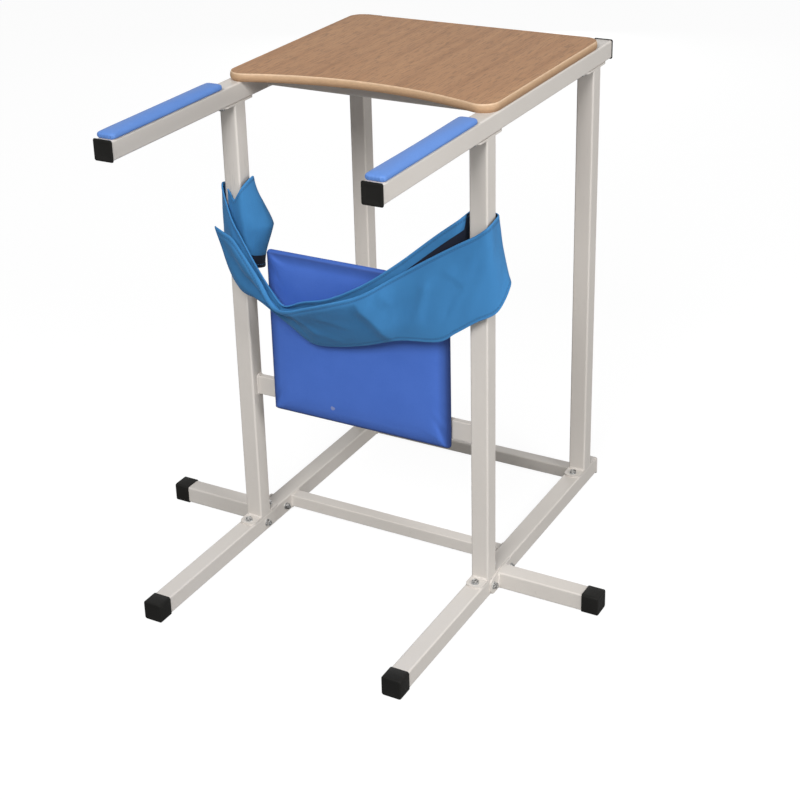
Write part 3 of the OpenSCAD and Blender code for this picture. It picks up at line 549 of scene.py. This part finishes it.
def round_bar(node, leg=0.003, dots=241):
    """Seams round both ends of a cross bar, on the walls that face each other across the frame."""
    centre, size = middle(node)
    ring = rounded(size[1] / 2, size[2] / 2, corner=0.003, steps=9)
    ring = np.concatenate([ring, ring[:1]])
    ring = read_off(np.linspace(0, len(ring) - 1, dots), np.arange(len(ring)), ring)
    away = unit(np.gradient(ring, axis=0)[:, ::-1] * (1, -1))
    zero = np.zeros((len(ring), 1))
    for s in (-1, 1):
        path = np.concatenate([zero + s * size[0] / 2, ring + centre[1:]], 1)
        yield bead(path, np.concatenate([zero, away], 1), (-s, 0, 0), leg, closed=True)


reach = half - 0.002
seams = [straight((x - reach, y + t * half, z), (x + reach, y + t * half, z), (0, t, 0), (0, 0, u))
         for x, y in posts for t in (-1, 1) for z, u in ((foot_z, 1), (head_z, -1))]
flange, _ = middle("outrigger_right")
flange_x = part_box("outrigger_right")[0].x
seams += [straight((s * flange_x, flange[1] + t * half, flange[2] - reach),
                   (s * flange_x, flange[1] + t * half, flange[2] + reach), (0, t, 0), (s, 0, 0))
          for s in (-1, 1) for t in (-1, 1)]
for bar in ("base_crossbar_front", "base_crossbar_rear", "top_crossbar_front", "top_crossbar_rear", "knee_crossbar"):
    seams += list(round_bar(bar))
make("weld_seams", joined([quilt(seam_painted_shade) for seam_painted_shade in seams]), "frame", "frame_paint", sharp=70)

# %% [markdown]
# ## Hexagon heads and nuts
# A forged hexagon is a prism cut by a cone, which leaves a curved edge on each flat. On a grid of angle and height
# the radius is the smaller of the two: the hexagon's radius at that angle and the cone's at that height.
# The same rings with a stub in the middle make a nut on the end of its bolt.

# %% Bolts and nuts
def hex_rings(tall, flats, stub=0.0):
    """Rings of a hexagon cut by a 30 degree cone, closed below, dished or with a domed bolt end on top."""
    sides = 48
    angle = np.linspace(0, math.tau, sides, endpoint=False)
    hexagon = flats / 2 / np.cos((angle + np.pi / 6) % (np.pi / 3) - np.pi / 6)
    level = np.array([0, 0, 0.1, 0.6, 0.78, 0.86, 0.93, 1.0]) * tall
    cone = 0.475 * flats + 1.73 * np.minimum(tall - level, 0.3 * tall)
    foot = np.array([0, 0.97, 1, 1, 1, 1, 1, 1])
    radius = np.minimum(hexagon, cone[:, None]) * foot[:, None]
    top = np.array([(0.36, 1.0), (0.33, 0.94), (0.18, 0.93), (0.0, 0.93)]) if not stub else np.array(
        [(0.37, 1.0), (0.325, 0.9), (0.305, 0.9), (0.305, 1 + 0.8 * stub), (0.24, 1 + stub), (0.0, 1 + 1.1 * stub)])
    radius = np.concatenate([radius, np.repeat(top[:, :1] * flats, sides, 1)])
    level = np.concatenate([level, top[:, 1] * tall])
    return np.stack([radius * np.cos(angle), radius * np.sin(angle), np.repeat(level[:, None], sides, 1)], -1)


def stand(rings, spots, axis):
    """Copies of the rings at each spot with their height along the given axis, each turned a little further."""
    axis = np.array(axis, float)
    slant, each_turn = (0.3, 0.9, 0.31), 1.3
    first = unit(np.cross(axis, slant))
    frames = np.stack([first, np.cross(axis, first), axis])
    turns = np.arange(len(spots)) * each_turn
    spin = np.stack([np.cos(turns), np.sin(turns)], -1)[:, None, None]
    x, y, z = (rings[None, ..., k] for k in range(3))
    spun = np.stack([x * spin[..., 0] - y * spin[..., 1], x * spin[..., 1] + y * spin[..., 0],
                     np.broadcast_to(z, (len(spots),) + z.shape[1:])], -1)
    return quilt(spun @ frames + np.array(spots)[:, None, None])


def bolted(name, parts, node):
    make(name, joined(parts), "frame", "zinc_steel", sharp=28, stands_for=[node], look=steel)


pitch, flats, washer = 0.042, 0.013, 0.0016
head, nut = hex_rings(tall=0.0055, flats=flats), hex_rings(tall=0.0065, flats=flats, stub=0.45)
pairs = [(x, y + t * pitch) for x, y in posts for t in (-1, 1)]
bolted("base_bolt_heads", [stand(head, [(x, y, foot_z + washer) for x, y in pairs], (0, 0, 1))], "base_bolts")
bolted("rail_bolt_heads", [stand(head, [(x, y, head_z - washer) for x, y in pairs], (0, 0, -1))], "rail_bolts")
spread = [flange[1] - pitch, flange[1] + pitch]
head_x, nut_x = flange_x + washer, post_mid[0] - half - washer
bolted("outrigger_bolt_heads", [stand(head, [(s * head_x, y, flange[2]) for y in spread], (s, 0, 0))
                                for s in (-1, 1)], "outrigger_bolts")
bolted("outrigger_bolt_nuts", [stand(nut, [(s * nut_x, y, flange[2]) for y in spread], (-s, 0, 0))
                               for s in (-1, 1)], "outrigger_nuts")

# %% [markdown]
# ## End caps
# Sleeve caps grip the tube ends that touch the floor in front and at the sides, flat plugs close the others. Moulded
# edges are never sharp: the end face is a touch hollow, its rim turns over in a quarter circle, and the mouth of a
# sleeve has a small lip. Each cap is a stack of rounded squares, each with its own depth and inset.

# %% Caps and plugs
def cap_rings(half, corner, turn_over, grip, wall):
    """Rounded squares from the middle of the end face, over its rim and along the sleeve to its mouth."""
    depth, inset = np.concatenate([
        [(0.0009, half), (0.0009, 0.55 * half), (0.0007, 0.38 * half), (0.0001, 0.28 * half)],
        turn_over * (1 - bow),
        [(grip - 0.0009, 0.0), (grip - 0.0003, 0.0002), (grip, 0.0008), (grip, wall), (grip - 0.001, half)]]).T
    squares = [rounded(half - i, half - i, max(min(corner, half - i) - min(i, corner) * 0.5, 0.0)) for i in inset]
    return stacked(squares, depth)


def close(node, outward, grip, wall, corner, turn_over, slot="cap_black"):
    """A cap that stands for the node: its end face lies on the node's outer plane along the outward direction."""
    centre, size = middle(node)
    k = int(np.argmax(np.abs(outward)))
    rings = cap_rings(np.delete(size, k)[0] / 2, corner, turn_over, grip, wall)
    points = laid(rings, centre + np.array(outward) * size / 2, k, -outward[k])
    make(node + "_moulded", quilt(points), "frame", slot, sharp=50, stands_for=[node])


sleeve = {"wall": 0.0019, "corner": 0.005, "turn_over": 0.003}
plug = {"grip": 0.003, "wall": 0.004, "corner": 0.004, "turn_over": 0.0018}
for name, s in (("left", -1), ("right", 1)):
    close("foot_cap_front_" + name, (0, -1, 0), middle("foot_cap_front_" + name)[1][1], **sleeve)
    close("outrigger_cap_" + name, (s, 0, 0), middle("outrigger_cap_" + name)[1][0], **sleeve)
    close("rail_plug_front_" + name, (0, -1, 0), **plug)
    close("rail_plug_rear_" + name, (0, 1, 0), **plug)
    close("base_plug_" + name, (0, 1, 0), **plug, slot="plug_grey")

# %% [markdown]
# ## Foam pads
# Each pad is foam on a board with vinyl drawn over it. A crowned block, a little smaller than the finished pad, is
# remeshed evenly and blown up by cloth simulation. It is held where the vinyl is drawn over the board, which draws
# the sides in between the corners as a tight cover does. The result is fitted to the space of its solid, a little
# clear of the board's back, and the small gathers where the vinyl is folded under at the ends are added last.

# %% Swelling a cover
def pillow(half_a, half_b, tall, corner, edge, crown):
    """Rounded rectangles that shrink as they climb: a wall, a quarter-circle edge, then a low crown to a ridge."""
    half_least = min(half_a, half_b)
    over = np.linspace(0, 1, 9)[1:]
    inset = np.concatenate([[half_least, 0.002, 0.0005, 0], edge * (1 - bow[:, 0]),
                            edge + (half_least - edge) * over])
    level = np.concatenate([[0, 0, 0.0005, 0.0015], tall - edge + edge * bow[:, 1],
                            tall + crown * np.sin(over * np.pi / 2)])
    return stacked([rounded(half_a - i, half_b - i, max(corner - i, 0)) for i in inset], level)


def vertices(mesh):
    points = np.empty(len(mesh.vertices) * 3)
    mesh.vertices.foreach_get("co", points)
    return points.reshape(-1, 3)


def baked(piece):
    """The piece's mesh with its modifiers applied, which are then removed."""
    seen = piece.evaluated_get(bpy.context.evaluated_depsgraph_get())
    piece.data = bpy.data.meshes.new_from_object(seen)
    piece.modifiers.clear()
    return piece.data


def blow_up(piece, held, most, pressure=4.0, frames=20):
    """Cloth under pressure for some frames with the held points fixed; no point moves further than most metres."""
    start = vertices(piece.data)
    piece.vertex_groups.new(name="held").add(np.flatnonzero(held).tolist(), 1.0, "REPLACE")
    cover = piece.modifiers.new("cover", "CLOTH")
    cover.settings.use_pressure = True
    cover.settings.uniform_pressure_force = pressure
    cover.settings.vertex_group_mass = "held"
    cover.settings.effector_weights.gravity = 0.0
    for step in range(1, frames + 1):
        scene.frame_set(step)
    move = vertices(baked(piece)) - start
    far = np.linalg.norm(move, axis=1)
    move *= (np.minimum(far, most) / np.maximum(far, 1e-9))[:, None]
    scene.frame_set(1)
    print(f"{piece.name}: moved up to {1000 * far.max():.1f} mm before the cap")
    return start + move


def pad(name, node, board, slot, up, block, voxel, most, gather):
    """A simulated pad in its solid's box, held where it is drawn over its board; up is the way it swells."""
    smaller, clear, margin = 0.002, 0.0006, 0.0005
    low, high = np.array(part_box(node))
    k = int(np.argmax(np.abs(up)))
    base = low if up[k] > 0 else high
    half_a, half_b = np.delete(high - low, k) / 2 - smaller
    foot = (low + high) / 2
    foot[k] = base[k]
    points = laid(pillow(half_a, half_b, **block), foot, k, up[k])
    piece = make(name, quilt(points), "frame", slot, sharp=180, stands_for=[node])
    even = piece.modifiers.new("even", "REMESH")
    even.mode, even.voxel_size = "VOXEL", voxel
    cover = vertices(baked(piece))
    climb = (cover[:, k] - base[k]) * up[k]
    cover = blow_up(piece, climb < middle(board)[1][k] + margin, most)
    base[k] += clear * up[k]  # base is low or high itself, so the fit keeps off the board's back
    least, farthest = cover.min(0), cover.max(0)
    cover = gather(low + (cover - least) / (farthest - least) * (high - low), low, high)
    piece.data.vertices.foreach_set("co", cover.astype(np.float32).ravel())
    piece.data.shade_smooth()
    smooth = piece.modifiers.new("smooth", "SUBSURF")
    smooth.levels = smooth.render_levels = 1


def arm_gather(cover, low, high):
    """Small upright folds on the two ends: the end wall moves in and out as a cosine of the place across."""
    deep, apart, fade_in, fade_up = 0.0024, 0.0072, 0.005, 0.011
    inward = np.minimum(cover[:, 1] - low[1], high[1] - cover[:, 1])
    share = np.exp(-(inward / fade_in) ** 2) * np.clip(1.2 - (cover[:, 2] - low[2]) / fade_up, 0, 1)
    toward = np.where(cover[:, 1] < (low[1] + high[1]) / 2, 1.0, -1.0)
    cover[:, 1] += toward * deep * share * (0.5 - 0.5 * np.cos(math.tau * cover[:, 0] / apart))
    return cover


def knee_gather(cover, low, high):
    """Faint pull marks that run in from the pad's edges, strongest near the corners."""
    u = (cover[:, 0] - low[0]) / (high[0] - low[0])
    v = (cover[:, 2] - low[2]) / (high[2] - low[2])
    rim = np.minimum(np.minimum(u, 1 - u), np.minimum(v, 1 - v))
    front = np.clip((high[1] - cover[:, 1]) / (high[1] - low[1]), 0, 1) ** 3
    deep, pulls, fade_in = 0.0012, 13, 0.03
    pull = np.exp(-(rim / fade_in) ** 2) * (np.abs(u - 0.5) + np.abs(v - 0.5) - 0.4).clip(0)
    cover[:, 1] += deep * front * pull * np.sin(math.tau * pulls * (u + v))
    return cover


arm_block = {"tall": 0.012, "corner": 0.009, "edge": 0.005, "crown": 0.0035}
knee_block = {"tall": 0.0175, "corner": 0.007, "edge": 0.005, "crown": 0.003}
for name in ("left", "right"):
    pad("armrest_cushion_" + name, "armrest_pad_" + name, "armrest_board_" + name, "arm_vinyl", (0, 0, 1), arm_block,
        voxel=0.0024, most=0.003, gather=arm_gather)
pad("knee_cushion", "knee_pad", "knee_board", "knee_vinyl", (0, -1, 0), knee_block,
    voxel=0.005, most=0.002, gather=knee_gather)

# %% [markdown]
# ## The hip strap
# A strip of doubled canvas is wrapped round both front posts and hangs slack between them, so the person's hips rest
# in its belly. The table below follows the strip from its loose tip at the left post, along the front, round the
# right post, back behind and round the left post: for each place the upper edge, the lower edge, and how far the
# cloth bellies out and waves between them, in millimetres from the front posts' line. A smooth curve through the
# rows and two sine terms across give the surface; the panel at the left post has a straight fold across instead of
# the first. A strap this thin is modelled directly, because an even remesh would eat it.

# %% The strip's two edges
strip = np.array([
    (-313.1, -61, 775.7, -311.8, -60, 767.6, 0, 0), (-293.2, -63, 768.2, -299.4, -60, 731.8, 2.2, 0.9),
    (-264.6, -67, 756.1, -279.4, -60, 672.8, 4.5, 2.2), (-237.2, -66, 720.4, -254.6, -57, 634.2, 5.4, 3.6),
    (-202.4, -66.2, 672.6, -221.6, -50, 619.9, 4.5, 5.4), (-171.6, -68, 624.7, -181.7, -50, 605.2, 2.2, 6.3),
    (-134.9, -83, 620.2, -150.1, -43, 573.3, 2, 3), (-87.8, -85.5, 635.9, -99.5, -38.5, 536.6, 1.5, 1.5),
    (-28.4, -85.5, 657.3, -42.5, -38, 537.4, 2, 1.2), (42.4, -70, 683.5, 37.9, -45, 559, 6, 1),
    (115.6, -52, 730.8, 125.3, -51, 590.6, 9, 1.8), (188.8, -48, 780.1, 212.9, -50, 604.4, 8.1, 1.3),
    (248, -40, 817.2, 251.9, -46, 629.5, 6.3, 0.9), (290, -31.9, 842, 293.5, -39, 658.5, 6.3, 0.9),
    (313, -24.3, 861, 333.8, -24.3, 682.8, 2, 0), (316, 2.2, 868, 348.1, 3.4, 727.7, -5, 0),
    (312, 23.5, 872, 330.5, 27, 735, 0, 0), (290, 22.4, 877, 290, 24.6, 728, 5.4, 0),
    (266, 22.4, 882, 262, 24.2, 716, 2.2, 0), (262.3, 0, 878.6, 256, 0, 700, 0, 0),
    (251.4, -27, 868.2, 244, -27.9, 668, -2.2, 0), (200.1, -36, 827.1, 199, -30.1, 616, -2.2, 0),
    (120, -45.9, 758.9, 116, -28.8, 585, -2.2, 0.9), (42.4, -52.2, 701.2, 38, -27.9, 566, -2.2, 1.3),
    (-40, -54, 655.2, -42, -27.9, 548, -2.2, 1.8), (-106.1, -55.8, 635.6, -104.3, -28.8, 557.6, -2.2, 2.7),
    (-155.8, -54, 616.3, -154.6, -31.1, 579.3, -2.2, 4.5), (-189.3, -50, 645.7, -194.1, -34.2, 608.3, -2.2, 4.5),
    (-229, -49, 707.6, -235.6, -42, 641.1, -2.2, 2.7), (-256.8, -48, 755.2, -267.5, -43, 689.4, -2.2, 1.8),
    (-282.8, -43, 794.9, -298.2, -39, 729.2, 0, 0.9), (-315, -22, 855, -318, -22, 723, 0, 0),
    (-317, 3.4, 856, -319, 3.4, 718, 0, 0), (-312, 23.5, 860, -312, 25.1, 714, -2.2, 0),
    (-291.4, 22.4, 849.1, -284, 23.7, 698, -4.5, 0), (-270.6, 25, 859.3, -256.2, 25, 673.4, -16, 1.8),
    (-258.5, 10, 873.7, -243.7, 13, 665.8, -29, 3.2), (-264, -24.5, 858, -257, -25, 677.6, -4, 0),
    (-283.1, -25.1, 829.6, -280, -25.1, 696, -0.5, 0), (-292.7, -24.6, 842.6, -290, -24.6, 712, 0, 0),
    (-299, -24.4, 851, -299, -24.4, 728, 0, 0)]) / 1000
strip[:, [1, 4]] += post_mid[1]


def through(rows, steps):
    """A curve through the rows: between b and c, with a before and d after, it is the cubic whose slopes are half of
    c - a and half of d - b."""
    ends = np.concatenate([[2 * rows[0] - rows[1]], rows, [2 * rows[-1] - rows[-2]]])
    a, b, c, d = (ends[k:len(ends) - 3 + k, None] for k in range(4))
    t = np.linspace(0, 1, steps, endpoint=False)[None, :, None]
    curve = b + t * (c - a) / 2 + t ** 2 * (2 * a - 5 * b + 4 * c - d) / 2 + t ** 3 * (3 * b - 3 * c + d - a) / 2
    return np.concatenate([curve.reshape(-1, rows.shape[1]), rows[-1:]])


steps = 20
path = through(strip, steps)
place_along = np.arange(len(path)) / steps
upper, lower, belly, wave = path[:, :3], path[:, 3:6], path[:, 6], path[:, 7]
outward = unit(np.cross(np.gradient((upper + lower) / 2, axis=0), upper - lower))
rim = np.array([0, 0.003, 0.009, 0.018, 0.030, 0.043, 0.056, 0.066, 0.076, 0.09])
down = np.concatenate([rim, np.linspace(0.12, 0.88, 25), 1 - rim[::-1]])
across = down[None, :, None]
panel_row, panel_fold = 36, 0.53
panel = np.clip(1.5 - np.abs(place_along - panel_row), 0, 1)[:, None, None]
folded = np.minimum(across / panel_fold, (1 - across) / (1 - panel_fold))
bulge = belly[:, None, None] * ((1 - panel) * np.sin(np.pi * across) + panel * folded)
bulge = bulge + wave[:, None, None] * np.sin(3 * np.pi * across)
sheet = upper[:, None] + (lower - upper)[:, None] * across + outward[:, None] * bulge
print("strip:", len(path), "places along,", len(down), "across")

# %% [markdown]
# ### Hems, creases and thickness
# The long edges are folded in and stitched, so the cloth is thicker there, with a dip along the seam. Slack cloth
# creases along a few straight lines: each is a ridge or dip with a steep and a slow side. The two faces are then set
# off from the middle surface, and meet in a rounded edge.

# %% Strip faces
run = distance((upper + lower) / 2)
wide = np.linalg.norm(upper - lower, axis=1)
from_top, from_bottom = (share[None] * wide[:, None] for share in (down, 1 - down))
from_edge = np.minimum(from_top, from_bottom)
flat_u = np.repeat(run[:, None], len(down), 1)
flat_v = (down[None] - 0.5) * wide[:, None]
flat_grid = np.stack([flat_u, flat_v], -1)


def beside(start, end):
    """Share along a line between two (place along, share down) points of the flat strip, and distance beside it."""
    a, b = np.array([(np.interp(place, place_along, run), (share - 0.5) * np.interp(place, place_along, wide))
                     for place, share in (start, end)])
    ahead, here = unit(b - a), flat_grid - a
    return here @ ahead / np.linalg.norm(b - a), here @ (ahead[1], -ahead[0])


def crease(start, end, tall, before, after):
    """A fold along such a line: up over one width, down over the other, fading out at its two ends."""
    t, off = beside(start, end)
    share = np.where(off < 0, 1 + off / before, 1 - off / after).clip(0, 1)
    return tall * share ** 1.3 * np.clip(2.4 - 2.2 * np.abs(2 * t - 1), 0, 1)


def uprights(surface):
    """Unit normals of a grid of points, all on the strip's outer side."""
    normal = unit(np.cross(np.gradient(surface, axis=0), np.gradient(surface, down, axis=1)))
    return normal * np.sign((normal * outward[:, None]).sum(-1, keepdims=True))


def both_faces(front, rear):
    """Rows that run over the front face and back over the rear one; the two share their edge points."""
    return np.concatenate([front, rear[:, -2:0:-1]], 1)


relief = np.zeros(sheet.shape[:2])
large_fold = (8.88, 0.13), (9.78, 0.93)
for fold in [(*large_fold, 0.0075, 0.020, 0.070), ((9.50, 0.10), (9.95, 0.42), 0.0025, 0.020, 0.030),
             ((10.3, 0.85), (11.1, 0.20), 0.0030, 0.040, 0.040), ((6.4, 0.15), (7.6, 0.75), 0.0022, 0.012, 0.012),
             ((6.2, 0.35), (7.2, 0.90), -0.0020, 0.012, 0.012), ((2.0, 0.20), (4.5, 0.50), 0.0012, 0.012, 0.012),
             ((36.0, 0.3), (37.2, 0.80), 0.0020, 0.020, 0.020), ((10.55, 0.80), (10.95, 0.22), 0.0024, 0.014, 0.022),
             ((11.5, 0.18), (12.5, 0.50), 0.0018, 0.012, 0.020), ((11.4, 0.75), (12.5, 0.45), -0.0018, 0.014, 0.018),
             ((7.4, 0.25), (8.7, 0.62), 0.0016, 0.010, 0.016), ((7.0, 0.55), (8.4, 0.90), 0.0014, 0.010, 0.014)]:
    relief += crease(*fold)
ripple, ripple_u, ripple_v = 0.0005, 0.052, 0.093
relief += ripple * np.sin(math.tau * (flat_u / ripple_u + flat_v / ripple_v)) * np.sin(np.pi * down[None])
middle_face = sheet + uprights(sheet) * relief[..., None]
normal = uprights(middle_face)
half_cloth, hem_more, seam_less, edge_round = 0.0012, 0.0006, 0.0008, 0.0018
past_seam, step_wide, dip_wide = 0.002, 0.0007, 0.0013
hem = 1 / (1 + np.exp((from_edge - seam_in - past_seam) / step_wide))
dip = np.exp(-((from_edge - seam_in) / dip_wide) ** 2)
taper = np.sqrt(np.clip(1 - np.clip(1 - from_edge / edge_round, 0, 1) ** 2, 0, 1))
thick = (half_cloth + hem_more * hem - seam_less * dip) * taper
front, rear = middle_face + normal * thick[..., None], middle_face - normal * thick[..., None]
ring = both_faces(front, rear)
shape = joined([quilt(ring)] + [quilt(np.stack([front[k], rear[k]]), False) for k in (0, -1)])
flat = np.concatenate([both_faces(flat_grid, flat_grid).reshape(-1, 2)]
                      + [np.tile(flat_grid[k], (2, 1)) for k in (0, -1)])
print("strip faces:", len(shape[1]), "quads")

# %% [markdown]
# ### Lining, painted shade and area
# The inner face is painted dark navy by the right post and under the panel at the left one: a dark lining by the
# right post, painted shade in the gap between the layers and under the panel. Three numbers on each point tell how
# deep it lies inside that dark patch, how far before the large fold up to which the strip is painted darker as
# shade, and how far from the nearer edge.

# %% The strap
def between(first, last):
    """About how many metres each place along the strip lies inside the stretch between two rows."""
    row, row_long = place_along[:, None], 0.05
    return row_long * np.minimum(row - first, last - row)


def on_faces(front_values, rear_values, lid_value):
    """One value for each point of the strip, in the order of its points: front face, rear face, then both lids."""
    values = np.full(len(flat), lid_value)
    values[:ring.size // 3] = both_faces(front_values, rear_values).ravel()
    return values


def area(points):
    """Area of a grid of points: half the cross product of each cell's diagonals, summed."""
    diagonals = points[1:, 1:] - points[:-1, :-1], points[1:, :-1] - points[:-1, 1:]
    return float(0.5 * np.linalg.norm(np.cross(*diagonals), axis=-1).sum())


# Where the inner face is painted dark navy: lining by the right post, painted shade in the layers' gap and under the
# panel.
outside, tuck, tuck_row, panel_shade_band, top_hem = -0.05, 0.0285, 19.44, 0.030, 0.014
turned_in = tuck * np.clip((place_along[:, None] - tuck_row) / 0.2, 0, 1)
lining_and_shade_by_post = np.minimum(from_top - turned_in, between(13.3, 24.2))
painted_shade_under_panel = np.minimum(panel_shade_band - from_bottom, between(35.3, 37.6))
lining_and_shade_face = np.maximum(lining_and_shade_by_post, painted_shade_under_panel)
# How far each point lies before the large fold, up to which the strip is painted darker as shade.
shade_up_to_fold = np.minimum(-beside(*large_fold)[1], from_top - top_hem)
strap = make("hip_strap_canvas", shape, "strap", "strap_cloth", sharp=60, stands_for=["hip_strap"], flat=flat,
             marks={"lining": on_faces(np.full_like(lining_and_shade_face, outside), lining_and_shade_face, outside),
                    "nap": on_faces(shade_up_to_fold, shade_up_to_fold, outside),
                    "off_edge": on_faces(from_edge, from_edge, -outside)})
cut_area = area(middle_face)
print(f"strip length {run[-1]:.3f} m, widest {wide.max():.3f} m, area {cut_area:.4f} m2")

# %% [markdown]
# ### Stitching
# A row of stitches runs along each hem on both faces. A stitch is a short lens of thread half sunk in the cloth. Its
# place, its direction and its upright are read from the strap's own grid at even distances along the row.

# %% Hem stitches
def stitches(face, outward_normal, edge):
    """Lenses of five rings along one hem: the row lies seam_in from the edge wherever the strip is wide enough."""
    gap, end_gap, half_long, half_thick, proud, ahead_by = 0.0062, 0.01, 0.0021, 0.00055, 0.0001, 0.001
    share = np.abs(edge - np.clip(seam_in / np.maximum(wide, 1e-4), 0, 0.45))
    column = np.interp(share, down, np.arange(len(down)))
    low = np.clip(column.astype(int), 0, len(down) - 2)
    part = (column - low)[:, None]
    every = np.arange(len(face))
    row = face[every, low] * (1 - part) + face[every, low + 1] * part
    lift = outward_normal[every, low]
    length = distance(row)
    spots = np.arange(end_gap, length[-1] - end_gap, gap)
    at = read_off(spots, length, row)
    ahead = unit(read_off(spots + ahead_by, length, row) - at)
    up = unit(read_off(spots, length, lift))
    aside = unit(np.cross(up, ahead))
    t = np.linspace(-1, 1, 5)
    angle = np.linspace(0, math.tau, 6, endpoint=False)
    fat = half_thick * np.sqrt(np.clip(1 - t ** 4, 0, 1))
    lens = at[:, None, None] + half_long * t[None, :, None, None] * ahead[:, None, None]
    lens = lens + (fat[:, None] * np.cos(angle))[None, ..., None] * aside[:, None, None]
    return lens + (fat[:, None] * np.sin(angle) + proud)[None, ..., None] * up[:, None, None]


rows = [stitches(face, lift, edge) for face, lift in ((front, normal), (rear, -normal)) for edge in (0, 1)]
sewing = make("hip_strap_stitches", joined([quilt(row) for row in rows]), "strap", "strap_cloth", sharp=180,
              look=thread)
print("stitches:", sum(len(row) for row in rows))
